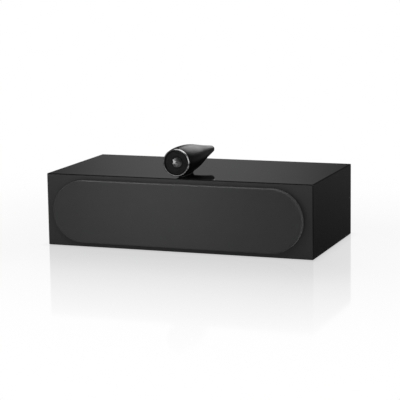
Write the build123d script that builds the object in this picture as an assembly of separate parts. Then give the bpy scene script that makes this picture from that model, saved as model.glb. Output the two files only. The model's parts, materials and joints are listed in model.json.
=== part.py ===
from build123d import *
import math
import os

# Centre channel loudspeaker: a low wide lacquered cabinet with an obround cloth grille on its
# front, two bass units and a midrange unit behind the grille, and a tweeter in a tapered pod on top.
# Millimetres, +Z up, +X to the right of someone facing the grille, which is towards -Y.
# The origin is the middle of the underside.

# Cabinet
CABINET_WIDTH = 742.0
CABINET_HEIGHT = 195.0
CABINET_DEPTH = 371.0
WALL = 18.0
BAFFLE_THICKNESS = 25.0
REAR_THICKNESS = 18.0
DIVIDER_THICKNESS = 15.0
MIDRANGE_CHAMBER = 185.0
EDGE_RADIUS = 2.5

# Clearances
FIT = 0.15
SOFT_GAP = 0.3
COIL_CLEARANCE = 0.5
LEAD_CLEARANCE = 1.5

# Grille
GRILLE_SIDE_MARGIN = 25.5
GRILLE_TOP_MARGIN = 14.25
GRILLE_DEPTH = 21.0
CLOTH = 0.8
CLOTH_EDGE_RADIUS = 3.0
FRAME_RAIL = 10.0
RIB_WIDTH = 8.0
RIB_DEPTH = 5.0
MAGNET_RADIUS = 4.0
GRILLE_MAGNET_DEPTH = 4.0
BAFFLE_MAGNET_DEPTH = 6.0
MAGNET_PITCH = 90.0

# Screws, the same in every drive unit and in the terminal tray
SCREW_RADIUS = 1.9
SCREW_HEAD_RADIUS = 3.6
SCREW_HEAD_DEPTH = 2.0
SCREW_LENGTH = 18.0
SCREW_EDGE = 4.2
UNIT_SCREWS = 6

# Castings and moving pieces that the cone units share
FLANGE_THICKNESS = 5.0
FLANGE_WIDTH = 9.0
FLANGE_LAND = 8.5
CASTING_WALL = 3.0
LEDGE_DEPTH = 1.5
LEDGE_WIDTH = 5.0
WINDOWS = 6
TERMINAL_BLOCK = 8.0
TERMINAL_BLOCK_WIDTH = 16.0
SURROUND_THICKNESS = 0.8
SURROUND_LANDING = 4.0
CONE_THICKNESS = 1.2
CONE_RING = 1.5
SPIDER_THICKNESS = 0.8
SPIDER_LANDING = 4.0
SPIDER_FOLDS = 8
SPIDER_FOLD_HEIGHT = 1.5
FORMER = 0.5
WINDING = 0.9
COIL_HOLE = 6.0
MAGNET_BORE = 8.0
PLATE_STEP = 2.0

# Bass units
BASS_FLANGE_INSET = 3.5
BASS_COIL_RADIUS = 19.0
BASS_COIL_LENGTH = 14.0
BASS_CONE_DEPTH = 17.0
BASS_ROLL_WIDTH = 11.5
BASS_ROLL_HEIGHT = 5.0
BASS_NECK_DEPTH = 8.0
BASS_SPIDER_RADIUS = 48.0
BASS_SPIDER_DEPTH = 44.0
BASS_SEAT_DEPTH = 62.0
BASS_PLATE = 6.0
BASS_MAGNET_RADIUS = 47.0
BASS_MAGNET_HEIGHT = 15.0
BASS_VENT_RADIUS = 8.0

# Midrange unit
MID_FLANGE_INSET = 10.5
MID_COIL_RADIUS = 15.0
MID_COIL_LENGTH = 9.0
MID_CONE_DEPTH = 24.0
MID_ROLL_WIDTH = 6.0
MID_ROLL_HEIGHT = 2.5
MID_NECK_DEPTH = 4.0
MID_SPIDER_RADIUS = 37.0
MID_SPIDER_DEPTH = 38.0
MID_SEAT_DEPTH = 50.0
MID_PLATE = 5.0
MID_MAGNET_RADIUS = 36.0
MID_MAGNET_HEIGHT = 12.0
PLUG_CLEARANCE = 1.5
PLUG_TIP_DEPTH = 6.0

# Tweeter pod
POD_RADIUS = 38.4
POD_FRONT_RADIUS = 36.2
POD_LENGTH = 278.0
POD_WIDEST = 48.0
POD_TAPER = ((0.40, 0.893), (0.70, 0.536))
POD_TAIL_RADIUS = 9.7
POD_TAIL_SLOPE = 8.5
POD_SETBACK = 2.0
POD_GAP = 3.0
POD_SHOULDER = 3.2
POD_CHAMBER_DEPTH = 60.0
POD_BORE_END_RADIUS = 6.0
POD_BORE_END_WALL = 35.0
NECK_START = 33.0
NECK_LENGTH = 80.0
NECK_WIDTH = 16.0
NECK_FLARE = 5.0
NECK_FLARE_HEIGHT = 10.0
SEAL_THICKNESS = 1.2
SEAL_INSET = 0.5
BOLT_RADIUS = 3.0
BOLT_FLANGE_RADIUS = 8.0
BOLT_FLANGE = 1.6
BOLT_HEAD_RADIUS = 5.8
BOLT_HEAD = 5.0
BOLT_GRIP = 9.0
BOLT_PLACE = 63.0
TWEETER_LEAD_PLACE = 20.0

# Tweeter
RING_WIDTH = 3.0
RING_DEPTH = 4.0
RING_BEVEL = 1.6
MESH_THICKNESS = 0.8
MESH_RIM = 2.5
MESH_RISE = 3.0
MESH_HOLE_RADIUS = 1.8
MESH_PITCH = 5.2
MESH_RINGS = 5
FACEPLATE_RIM = 4.0
FACEPLATE_RIM_WIDTH = 2.0
FACEPLATE_DISH = 3.4
FACEPLATE_BOSS = 3.8
DOME_RADIUS = 12.6
DOME_RISE = 4.0
DOME_WALL = 0.4
DOME_FLANGE = 1.0
DOME_COIL_LENGTH = 4.5
DOME_FORMER_LENGTH = 5.5
TWEETER_ROLL_WIDTH = 2.0
TWEETER_ROLL_HEIGHT = 0.9
TWEETER_LANDING = 1.6
TWEETER_MAGNET_RADIUS = 26.0
TWEETER_MAGNET_HEIGHT = 8.0
TWEETER_MAGNET_BORE = 4.0
TWEETER_PLATE = 4.0

# Rear of the cabinet
PORT_RADIUS = 27.0
PORT_WALL = 3.0
PORT_FLARE = 12.0
PORT_COLLAR_WALL = 2.0
PORT_LENGTH = 120.0
PORT_FLANGE_WIDTH = 7.0
PORT_FLANGE = 3.0
TRAY_WIDTH = 98.0
TRAY_HEIGHT = 68.0
TRAY_CORNER = 8.0
TRAY_DEPTH = 30.0
TRAY_WALL = 2.5
TRAY_FLANGE = 3.0
TRAY_FLANGE_WIDTH = 10.0
POST_SPACING = 38.0
POST_RADIUS = 4.0
POST_FLANGE_RADIUS = 8.0
POST_FLANGE = 4.0
POST_LENGTH = 24.0
POST_TAIL = 12.0
PLUG_SOCKET_RADIUS = 2.05
PLUG_SOCKET_DEPTH = 18.0
COLLAR_RADIUS = 8.0
COLLAR_HEIGHT = 3.0
CAP_RADIUS = 9.0
CAP_HEIGHT = 14.0
CAP_GAP = 0.2
CAP_RIDGES = 16
CAP_RIDGE_RADIUS = 0.8

# Crossover
BOARD_WIDTH = 150.0
BOARD_DEPTH = 110.0
BOARD_THICKNESS = 2.0
BOARD_FOOT_RADIUS = 4.0
BOARD_FOOT_HEIGHT = 8.0
BOARD_FOOT_EDGE = 7.0
BOARD_REAR_GAP = 72.5
COIL_RADIUS = 22.0
COIL_BORE = 10.0
COIL_HEIGHT = 20.0
COIL_PITCH = 48.0
COIL_ROW = 27.0
CAPACITOR_RADIUS = 11.0
CAPACITOR_LENGTH = 40.0
CAPACITOR_PITCH = 48.0
CAPACITOR_ROW = -8.0
RESISTOR_LENGTH = 25.0
RESISTOR_SIZE = 9.0
RESISTOR_ROW = -34.0
LEAD_RADIUS = 1.8
LEAD_BEND = 6.0
LEAD_EDGE = 8.0
LEAD_RISE = 24.0
LEAD_RUN = 60.0
LEAD_DROP = 20.0
BASS_LEAD_SIDE = 18.0
TWEETER_LEAD_SIDE = 45.0

# Planes and places that follow from the sizes above
FRONT_Y = -CABINET_DEPTH / 2
BAFFLE_BACK_Y = FRONT_Y + BAFFLE_THICKNESS
REAR_Y = CABINET_DEPTH / 2
REAR_INNER_Y = REAR_Y - REAR_THICKNESS
CEILING_Z = CABINET_HEIGHT - WALL
UNIT_Z = CABINET_HEIGHT / 2
DIVIDER_X = (MIDRANGE_CHAMBER + DIVIDER_THICKNESS) / 2
BASS_CHAMBER_INNER_X = DIVIDER_X + DIVIDER_THICKNESS / 2
BASS_CHAMBER_OUTER_X = CABINET_WIDTH / 2 - WALL
GRILLE_WIDTH = CABINET_WIDTH - 2 * GRILLE_SIDE_MARGIN
GRILLE_HEIGHT = CABINET_HEIGHT - 2 * GRILLE_TOP_MARGIN
BASS_X = (GRILLE_WIDTH - GRILLE_HEIGHT) / 2
RIB_X = BASS_X / 2
PORT_X = (BASS_CHAMBER_INNER_X + BASS_CHAMBER_OUTER_X) / 2
POD_Y = FRONT_Y + POD_SETBACK
POD_Z = CABINET_HEIGHT + POD_GAP + POD_RADIUS
NECK_Y = POD_Y + NECK_START + NECK_LENGTH / 2
NECK_Z = CABINET_HEIGHT + SEAL_THICKNESS
BOLT_Y = POD_Y + NECK_START + BOLT_PLACE
TWEETER_LEAD_Y = POD_Y + NECK_START + TWEETER_LEAD_PLACE
TRAY_FLOOR_Y = REAR_Y - TRAY_DEPTH
POST_TAIL_Y = TRAY_FLOOR_Y - TRAY_WALL - POST_TAIL
BOARD_Y = REAR_INNER_Y - BOARD_REAR_GAP - BOARD_DEPTH / 2
BOARD_FRONT_Y = BOARD_Y - BOARD_DEPTH / 2
BOARD_BACK_Y = BOARD_Y + BOARD_DEPTH / 2
BOARD_Z = WALL + BOARD_FOOT_HEIGHT
BOARD_TOP = BOARD_Z + BOARD_THICKNESS
LEAD_START_Y = BOARD_FRONT_Y + LEAD_EDGE
LEAD_Z = BOARD_TOP + LEAD_RISE

# Tweeter depths, measured back from the pod's front plane
TWEETER_BORE = POD_FRONT_RADIUS - RING_WIDTH
FACEPLATE_D = RING_DEPTH + MESH_THICKNESS
SEAT_D = FACEPLATE_D + FACEPLATE_RIM
DOME_D = FACEPLATE_D + FACEPLATE_DISH
BOSS_D = SEAT_D + FACEPLATE_BOSS
TWEETER_BACK_D = BOSS_D + TWEETER_MAGNET_HEIGHT + TWEETER_PLATE
GAP_OUTER = DOME_RADIUS + 2 * DOME_WALL + COIL_CLEARANCE


# Shared shapes

def turned_face(face):
    """Solid of revolution about the Y line through the origin; the face is drawn as (radius, depth)."""
    return revolve(face, Axis.Y)


def turned(*points):
    """Solid of revolution about Y from a straight-sided outline of (radius, depth) points."""
    return turned_face(make_face(Polyline(*points, close=True)))


def ring(inner, outer, start, end):
    """Plain ring about Y between two radii and two depths."""
    return turned((inner, start), (outer, start), (outer, end), (inner, end))


def rod(radius, start, end):
    """Plain rod along Y."""
    return ring(0, radius, start, end)


def along_y(face, start, end):
    """Prism of a front-view outline, drawn as (x, z), between two depths."""
    return extrude(Plane.XZ.offset(-start) * face, start - end)


def upright(face, low, high):
    """Prism of a plan-view outline between two heights."""
    return extrude(Pos(0, 0, low) * face, high - low)


def block(x_range, y_range, z_range):
    """Rectangular block between two corners."""
    spans = (x_range, y_range, z_range)
    middle = [(low + high) / 2 for low, high in spans]
    size = [high - low for low, high in spans]
    return Pos(*middle) * Box(*size)


def round_the_axis(radius, count, first=0.0):
    """Places on a circle about the Y axis, as (x, z) pairs."""
    angles = [math.radians(first + 360 * i / count) for i in range(count)]
    return [(radius * math.cos(a), radius * math.sin(a)) for a in angles]


def screw_form(extra=0.0):
    """Countersunk screw along +Y with its head flush at depth 0; extra widens it into its hole."""
    return turned(
        (0, 0),
        (SCREW_HEAD_RADIUS + extra, 0),
        (SCREW_RADIUS + extra, SCREW_HEAD_DEPTH),
        (SCREW_RADIUS + extra, SCREW_LENGTH),
        (0, SCREW_LENGTH),
    )


def lead(*points):
    """Round lead along straight runs joined by tangent arcs."""
    path = FilletPolyline(*points, radius=LEAD_BEND)
    start = Plane(origin=path @ 0, z_dir=path % 0)
    return sweep(start * Circle(LEAD_RADIUS), path=path)


# Cone drive units: sizes

class ConeUnit:
    """Radii and depths of a cone drive unit about its own axis, depth 0 at the baffle's front."""

    def __init__(self, flange, coil, coil_length, cone_depth, roll_width, roll_height, neck_depth,
                 spider, spider_depth, seat, plate, magnet, magnet_height, vent):
        self.flange = flange
        self.hole = flange - FLANGE_WIDTH
        self.screw_circle = flange - SCREW_EDGE
        self.ledge_outer = flange - FLANGE_LAND
        self.ledge_inner = self.ledge_outer - LEDGE_WIDTH
        self.basket = self.hole - SOFT_GAP
        self.cone = self.ledge_inner - roll_width
        self.cone_depth = cone_depth
        self.roll_height = roll_height
        self.neck_depth = neck_depth
        self.coil = coil
        self.coil_length = coil_length
        self.former = coil + FORMER
        self.winding = self.former + WINDING
        self.spider = spider
        self.spider_depth = spider_depth
        self.seat = seat
        self.plate = plate
        self.magnet = magnet
        self.magnet_height = magnet_height
        self.vent = vent
        self.back = seat + plate + magnet_height + plate


BASS = ConeUnit(
    flange=GRILLE_HEIGHT / 2 - BASS_FLANGE_INSET,
    coil=BASS_COIL_RADIUS,
    coil_length=BASS_COIL_LENGTH,
    cone_depth=BASS_CONE_DEPTH,
    roll_width=BASS_ROLL_WIDTH,
    roll_height=BASS_ROLL_HEIGHT,
    neck_depth=BASS_NECK_DEPTH,
    spider=BASS_SPIDER_RADIUS,
    spider_depth=BASS_SPIDER_DEPTH,
    seat=BASS_SEAT_DEPTH,
    plate=BASS_PLATE,
    magnet=BASS_MAGNET_RADIUS,
    magnet_height=BASS_MAGNET_HEIGHT,
    vent=BASS_VENT_RADIUS,
)

MIDRANGE = ConeUnit(
    flange=GRILLE_HEIGHT / 2 - MID_FLANGE_INSET,
    coil=MID_COIL_RADIUS,
    coil_length=MID_COIL_LENGTH,
    cone_depth=MID_CONE_DEPTH,
    roll_width=MID_ROLL_WIDTH,
    roll_height=MID_ROLL_HEIGHT,
    neck_depth=MID_NECK_DEPTH,
    spider=MID_SPIDER_RADIUS,
    spider_depth=MID_SPIDER_DEPTH,
    seat=MID_SEAT_DEPTH,
    plate=MID_PLATE,
    magnet=MID_MAGNET_RADIUS,
    magnet_height=MID_MAGNET_HEIGHT,
    vent=0.0,
)

UNITS = {"bass_left": (BASS, -BASS_X), "bass_right": (BASS, BASS_X), "midrange": (MIDRANGE, 0.0)}


# Cone drive units: pieces

def chassis(u):
    """Cast basket: flange, conical spokes, spider ledge, seat for the motor and a terminal block."""
    wall = u.spider + CASTING_WALL
    basket = turned(
        (u.flange, 0),
        (u.flange, FLANGE_THICKNESS),
        (u.basket, FLANGE_THICKNESS),
        (wall, u.spider_depth + CASTING_WALL),
        (wall, u.seat),
        (u.coil + COIL_HOLE, u.seat),
        (u.coil + COIL_HOLE, u.seat - CASTING_WALL),
        (u.spider - SPIDER_LANDING, u.seat - CASTING_WALL),
        (u.spider - SPIDER_LANDING, u.spider_depth),
        (u.spider + SOFT_GAP, u.spider_depth),
        (u.ledge_inner, FLANGE_THICKNESS + CASTING_WALL),
        (u.ledge_inner, LEDGE_DEPTH),
        (u.ledge_outer, LEDGE_DEPTH),
        (u.ledge_outer, 0),
    )
    width = math.pi * u.spider / WINDOWS
    front = FLANGE_THICKNESS + 2 * CASTING_WALL
    window = block(
        (u.spider - SPIDER_LANDING, u.flange),
        (front, u.spider_depth - CASTING_WALL),
        (-width / 2, width / 2),
    )
    basket -= [Rot(0, 360 * i / WINDOWS, 0) * window for i in range(WINDOWS)]
    basket -= [Pos(x, 0, z) * screw_form(FIT) for x, z in unit_screw_places(u)]
    depth = u.seat - CASTING_WALL
    terminals = block(
        (-TERMINAL_BLOCK_WIDTH / 2, TERMINAL_BLOCK_WIDTH / 2),
        (depth - TERMINAL_BLOCK, depth),
        (-wall - TERMINAL_BLOCK, -u.spider),
    )
    return basket + terminals


def unit_screw_places(u):
    """Screw places round the flange, between the windows of the basket."""
    return round_the_axis(u.screw_circle, UNIT_SCREWS, first=180 / UNIT_SCREWS)


def half_roll(inner, outer, inner_landing, outer_landing, back, thickness, height):
    """Surround: two flat landings joined by a roll that bulges forward."""
    front = back - thickness
    middle = (inner + outer) / 2
    outline = [
        Line((inner - inner_landing, front), (inner, front)),
        ThreePointArc((inner, front), (middle, front - height), (outer, front)),
        Line((outer, front), (outer + outer_landing, front)),
        Line((outer + outer_landing, front), (outer + outer_landing, back)),
        Line((outer + outer_landing, back), (outer, back)),
        ThreePointArc((outer, back), (middle, back - height), (inner, back)),
        Line((inner, back), (inner - inner_landing, back)),
        Line((inner - inner_landing, back), (inner - inner_landing, front)),
    ]
    return turned_face(make_face(outline))


def unit_surround(u):
    """Rubber roll between the cone's rim and the chassis ledge."""
    return half_roll(
        u.cone, u.ledge_inner, SURROUND_LANDING, LEDGE_WIDTH - SOFT_GAP,
        LEDGE_DEPTH, SURROUND_THICKNESS, u.roll_height,
    )


def bowl_depth(u, radius):
    """Depth of the dished cone's front at a radius: a sphere from the rim to the middle."""
    rim = u.cone - SURROUND_LANDING
    sphere = (rim ** 2 + u.cone_depth ** 2) / (2 * u.cone_depth)
    return LEDGE_DEPTH + u.cone_depth - sphere + math.sqrt(sphere ** 2 - radius ** 2)


def dished_cone(u):
    """Bass cone in one piece: flat rim, spherical bowl and a ring that holds the coil former."""
    rim = u.cone - SURROUND_LANDING
    front = [(r, bowl_depth(u, r)) for r in (rim, rim / 2, 0)]
    back = [(r, depth + CONE_THICKNESS) for r, depth in reversed(front)]
    outline = [
        ThreePointArc(*front),
        Line(front[-1], back[0]),
        ThreePointArc(*back),
        Line(back[-1], (u.cone, back[-1][1])),
        Line((u.cone, back[-1][1]), (u.cone, LEDGE_DEPTH)),
        Line((u.cone, LEDGE_DEPTH), front[0]),
    ]
    inner = u.former + FIT
    outer = inner + CONE_RING
    neck = ring(inner, outer, bowl_depth(u, outer) + CONE_THICKNESS / 2, neck_end(u))
    return turned_face(make_face(outline)) + neck


def neck_end(u):
    """Depth at which the cone's neck lets go of the coil former."""
    return LEDGE_DEPTH + u.cone_depth + u.neck_depth


def open_cone(u):
    """Midrange cone: flat rim, straight cone and a neck round the coil former, open in the middle."""
    rim = u.cone - SURROUND_LANDING
    neck = u.former + FIT
    bottom = LEDGE_DEPTH + u.cone_depth
    return turned(
        (u.cone, LEDGE_DEPTH),
        (rim, LEDGE_DEPTH),
        (neck, bottom),
        (neck, neck_end(u)),
        (neck + CONE_RING, neck_end(u)),
        (neck + CONE_RING, bottom),
        (rim, LEDGE_DEPTH + CONE_THICKNESS),
        (u.cone, LEDGE_DEPTH + CONE_THICKNESS),
    )


def spider(u):
    """Corrugated disc that centres the coil former on the chassis ledge."""
    inner = u.former + SOFT_GAP
    outer = u.spider - SPIDER_LANDING
    pitch = (outer - inner) / SPIDER_FOLDS
    middle = u.spider_depth - SPIDER_THICKNESS
    folds = [(inner + i * pitch, middle - (i % 2) * SPIDER_FOLD_HEIGHT) for i in range(SPIDER_FOLDS + 1)]
    front = folds + [(u.spider, middle)]
    back = [(r, depth + SPIDER_THICKNESS) for r, depth in reversed(front)]
    return turned(*front, *back)


def voice_coil(u, start):
    """Coil former with its winding centred in the magnet gap."""
    gap_middle = u.seat + u.plate / 2
    wind_start = gap_middle - u.coil_length / 2
    wind_end = gap_middle + u.coil_length / 2
    return turned(
        (u.coil, start),
        (u.former, start),
        (u.former, wind_start),
        (u.winding, wind_start),
        (u.winding, wind_end),
        (u.coil, wind_end),
    )


def top_plate(u):
    """Steel ring round the coil."""
    return ring(u.winding + COIL_CLEARANCE, u.magnet - PLATE_STEP, u.seat, u.seat + u.plate)


def ring_magnet(u):
    """Ferrite ring."""
    start = u.seat + u.plate
    return ring(u.coil + MAGNET_BORE, u.magnet, start, start + u.magnet_height)


def yoke(u):
    """Back plate and pole in one turned piece, vented along its axis where the unit has a vent."""
    pole = u.coil - COIL_CLEARANCE
    plate_front = u.back - u.plate
    return turned(
        (u.vent, u.seat),
        (pole, u.seat),
        (pole, plate_front),
        (u.magnet - PLATE_STEP, plate_front),
        (u.magnet - PLATE_STEP, u.back),
        (u.vent, u.back),
    )


def phase_plug(u):
    """Bullet on the end of the pole, in the middle of the open cone."""
    radius = u.coil - PLUG_CLEARANCE
    shoulder = (radius, LEDGE_DEPTH + u.cone_depth)
    tip = (0, PLUG_TIP_DEPTH)
    outline = [
        Line((0, u.seat), (radius, u.seat)),
        Line((radius, u.seat), shoulder),
        Spline(shoulder, tip, tangents=[(0, -1), (-1, 0)]),
        Line(tip, (0, u.seat)),
    ]
    return turned_face(make_face(outline))


def cone_unit(name, u):
    """All pieces of one drive unit by node name, still about its own axis."""
    if u is BASS:
        own = {"cone": dished_cone(u)}
        former_start = bowl_depth(u, u.coil) + CONE_THICKNESS + FIT
    else:
        own = {"cone": open_cone(u), "phase_plug": phase_plug(u)}
        former_start = LEDGE_DEPTH + u.cone_depth
    shared = {
        "chassis": chassis(u),
        "surround": unit_surround(u),
        "spider": spider(u),
        "voice_coil": voice_coil(u, former_start),
        "top_plate": top_plate(u),
        "magnet": ring_magnet(u),
        "yoke": yoke(u),
    }
    return {f"{name}_{piece}": solid for piece, solid in {**shared, **own}.items()}


# Cabinet

def cabinet_form():
    """Outer form of the closed cabinet, every edge rounded."""
    body = block(
        (-CABINET_WIDTH / 2, CABINET_WIDTH / 2), (FRONT_Y, REAR_Y), (0, CABINET_HEIGHT),
    )
    return fillet(body.edges(), EDGE_RADIUS)


def wrap_panel(*outline):
    """One mitred panel of the wrap behind the baffle: the outer form inside a front-view trapezium."""
    return cabinet_form() & along_y(make_face(Polyline(*outline, close=True)), BAFFLE_BACK_Y, REAR_Y)


def wrap_panels():
    """Top, bottom and sides of the cabinet, with the pod's bolt and lead holes through the top."""
    outer_x = CABINET_WIDTH / 2
    inner_x = outer_x - WALL
    top = ((-outer_x, CABINET_HEIGHT), (outer_x, CABINET_HEIGHT), (inner_x, CEILING_Z), (-inner_x, CEILING_Z))
    bottom = ((-outer_x, 0), (outer_x, 0), (inner_x, WALL), (-inner_x, WALL))
    right = ((outer_x, 0), (outer_x, CABINET_HEIGHT), (inner_x, CEILING_Z), (inner_x, WALL))
    left = tuple((-x, z) for x, z in right)
    bolt_hole, lead_hole = neck_holes(CEILING_Z, CABINET_HEIGHT, CABINET_HEIGHT)
    return {
        "top_panel": wrap_panel(*top) - bolt_hole - lead_hole,
        "bottom_panel": wrap_panel(*bottom),
        "left_panel": wrap_panel(*left),
        "right_panel": wrap_panel(*right),
    }


def front_baffle():
    """Full-width front with a stepped hole for each unit, screw holes and blind magnet pockets."""
    slab = block((-CABINET_WIDTH, CABINET_WIDTH), (FRONT_Y, BAFFLE_BACK_Y), (0, CABINET_HEIGHT))
    baffle = cabinet_form() & slab
    for u, x in UNITS.values():
        at = Pos(x, FRONT_Y, UNIT_Z)
        baffle -= at * rod(u.flange + SOFT_GAP, 0, FLANGE_THICKNESS)
        baffle -= at * rod(u.hole, 0, BAFFLE_THICKNESS)
        baffle -= [at * Pos(sx, 0, sz) * screw_form(FIT) for sx, sz in unit_screw_places(u)]
    pocket = rod(MAGNET_RADIUS + FIT, FRONT_Y, FRONT_Y + BAFFLE_MAGNET_DEPTH)
    return baffle - [Pos(x, 0, z) * pocket for x, z in magnet_places()]


def port_collar():
    """Radius of the port's collar where it passes through the rear panel."""
    return PORT_RADIUS + PORT_FLARE + PORT_COLLAR_WALL


def rear_panel():
    """Inset back with two port holes, the tray's cut-out and its screw holes."""
    panel = block((-BASS_CHAMBER_OUTER_X, BASS_CHAMBER_OUTER_X), (REAR_INNER_Y, REAR_Y), (WALL, CEILING_Z))
    port_hole = rod(port_collar() + FIT, REAR_INNER_Y, REAR_Y)
    panel -= [Pos(x, 0, UNIT_Z) * port_hole for x in (-PORT_X, PORT_X)]
    panel -= Pos(0, 0, UNIT_Z) * along_y(tray_outline(FIT), REAR_INNER_Y, REAR_Y)
    return panel - tray_screws(FIT)


def divider(side):
    """Upright wall between the midrange chamber and a bass chamber, with a hole for the lead."""
    middle = side * DIVIDER_X
    wall = block(
        (middle - DIVIDER_THICKNESS / 2, middle + DIVIDER_THICKNESS / 2),
        (BAFFLE_BACK_Y, REAR_INNER_Y),
        (WALL, CEILING_Z),
    )
    hole = Rot(0, 0, 90) * rod(LEAD_RADIUS + LEAD_CLEARANCE, -DIVIDER_THICKNESS, DIVIDER_THICKNESS)
    return wall - Pos(middle, LEAD_START_Y, LEAD_Z) * hole


# Grille

def grille_outline(inset):
    """Obround outline of the grille in front view, drawn in by an inset."""
    return Pos(0, UNIT_Z) * SlotOverall(GRILLE_WIDTH - 2 * inset, GRILLE_HEIGHT - 2 * inset)


def grille_pad(inset, edge_radius):
    """Solid obround pad on the baffle, drawn in all round by the inset, with a rounded front edge."""
    pad = along_y(grille_outline(inset), FRONT_Y - GRILLE_DEPTH + inset, FRONT_Y)
    return fillet(pad.faces().sort_by(Axis.Y)[0].edges(), edge_radius)


def grille_cloth():
    """Cloth stretched over the frame's front and round its sides."""
    return grille_pad(0, CLOTH_EDGE_RADIUS) - grille_pad(CLOTH, CLOTH_EDGE_RADIUS - CLOTH)


def grille_frame():
    """Obround rail with two low ribs across it and a pocket for each magnet."""
    inset = CLOTH + FIT
    frame = grille_pad(inset, CLOTH_EDGE_RADIUS - CLOTH)
    frame -= along_y(grille_outline(inset + FRAME_RAIL), FRONT_Y - GRILLE_DEPTH, FRONT_Y)
    reach = GRILLE_HEIGHT / 2 - inset - FRAME_RAIL / 2
    for x in (-RIB_X, RIB_X):
        frame += block(
            (x - RIB_WIDTH / 2, x + RIB_WIDTH / 2),
            (FRONT_Y - RIB_DEPTH, FRONT_Y),
            (UNIT_Z - reach, UNIT_Z + reach),
        )
    pocket = rod(MAGNET_RADIUS + FIT, FRONT_Y - GRILLE_MAGNET_DEPTH - FIT, FRONT_Y)
    return frame - [Pos(x, 0, z) * pocket for x, z in magnet_places()]


def magnet_places():
    """Magnets on the frame's straight rails, a pair to each end of each rib, as (x, z) pairs."""
    rise = GRILLE_HEIGHT / 2 - CLOTH - FIT - FRAME_RAIL / 2
    columns = [rib + side * MAGNET_PITCH / 2 for rib in (-RIB_X, RIB_X) for side in (-1, 1)]
    return [(x, UNIT_Z + side * rise) for x in columns for side in (-1, 1)]


def disc_magnets(start, end):
    """Group of disc magnets between two depths, one at each magnet place."""
    return Compound(children=[Pos(x, 0, z) * rod(MAGNET_RADIUS, start, end) for x, z in magnet_places()])


# Tweeter pod

def in_pod(solid):
    """Place a piece that is drawn about its own axis on the pod's axis."""
    return Pos(0, POD_Y, POD_Z) * solid


def pod_outline():
    """Half outline of the pod: swelling front, long taper and a round tail."""
    slope = math.radians(POD_TAIL_SLOPE)
    centre = POD_LENGTH - POD_TAIL_RADIUS
    tail_start = (POD_TAIL_RADIUS * math.cos(slope), centre + POD_TAIL_RADIUS * math.sin(slope))
    bend = (math.pi / 2 + slope) / 2
    tail_middle = (POD_TAIL_RADIUS * math.cos(bend), centre + POD_TAIL_RADIUS * math.sin(bend))
    taper = [(r * POD_RADIUS, d * POD_LENGTH) for d, r in POD_TAPER]
    side = Spline(
        (POD_FRONT_RADIUS, RING_DEPTH), (POD_RADIUS, POD_WIDEST), *taper, tail_start,
        tangents=[(math.sin(slope), math.cos(slope)), (-math.sin(slope), math.cos(slope))],
    )
    return [
        side,
        ThreePointArc(tail_start, tail_middle, (0, POD_LENGTH)),
        Line((0, POD_LENGTH), (0, RING_DEPTH)),
        Line((0, RING_DEPTH), (POD_FRONT_RADIUS, RING_DEPTH)),
    ]


def neck_outline(extra):
    """Plan outline of the neck, an obround along Y, widened all round."""
    return Pos(0, NECK_Y) * SlotOverall(NECK_LENGTH + 2 * extra, NECK_WIDTH + 2 * extra, rotation=90)


def neck_holes(low, bolt_high, lead_high):
    """Upright holes for the pod's bolt and for its lead, from one height up to a height of their own."""
    bolt_hole = upright(Circle(BOLT_RADIUS + FIT), low, bolt_high)
    lead_hole = upright(Circle(LEAD_RADIUS + LEAD_CLEARANCE), low, lead_high)
    return Pos(0, BOLT_Y) * bolt_hole, Pos(0, TWEETER_LEAD_Y) * lead_hole


def tweeter_housing():
    """Pod and neck machined from one piece, bored for the tweeter and its tapering back chamber."""
    body = in_pod(turned_face(make_face(pod_outline())))
    neck = loft([
        Pos(0, 0, NECK_Z) * neck_outline(0),
        Pos(0, 0, NECK_Z + NECK_FLARE_HEIGHT) * neck_outline(NECK_FLARE),
    ])
    chamber = TWEETER_BORE - POD_SHOULDER
    bore = turned(
        (0, RING_DEPTH),
        (TWEETER_BORE, RING_DEPTH),
        (TWEETER_BORE, SEAT_D),
        (chamber, SEAT_D),
        (chamber, POD_CHAMBER_DEPTH),
        (POD_BORE_END_RADIUS, POD_LENGTH - POD_BORE_END_WALL),
        (0, POD_LENGTH - POD_BORE_END_WALL),
    )
    bolt_hole, lead_hole = neck_holes(NECK_Z, NECK_Z + BOLT_GRIP + FIT, POD_Z)
    return body + neck - in_pod(bore) - bolt_hole - lead_hole


def tweeter_seal():
    """Soft gasket between the neck and the cabinet top."""
    seal = upright(neck_outline(-SEAL_INSET), CABINET_HEIGHT, NECK_Z)
    bolt_hole, lead_hole = neck_holes(CABINET_HEIGHT, NECK_Z, NECK_Z)
    return seal - bolt_hole - lead_hole


def tweeter_bolt():
    """Flanged bolt up through the cabinet top into the neck."""
    shank = upright(Circle(BOLT_RADIUS), CEILING_Z, NECK_Z + BOLT_GRIP)
    flange_z = CEILING_Z - BOLT_FLANGE
    flange = upright(Circle(BOLT_FLANGE_RADIUS), flange_z, CEILING_Z)
    head = upright(RegularPolygon(BOLT_HEAD_RADIUS, 6), flange_z - BOLT_HEAD, flange_z)
    return Pos(0, BOLT_Y) * (shank + flange + head)


def tweeter_ring():
    """Bright ring round the mesh, bevelled towards its outer edge."""
    return turned(
        (TWEETER_BORE, 0),
        (POD_FRONT_RADIUS - RING_BEVEL, 0),
        (POD_FRONT_RADIUS, RING_BEVEL),
        (POD_FRONT_RADIUS, RING_DEPTH),
        (TWEETER_BORE, RING_DEPTH),
    )


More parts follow.
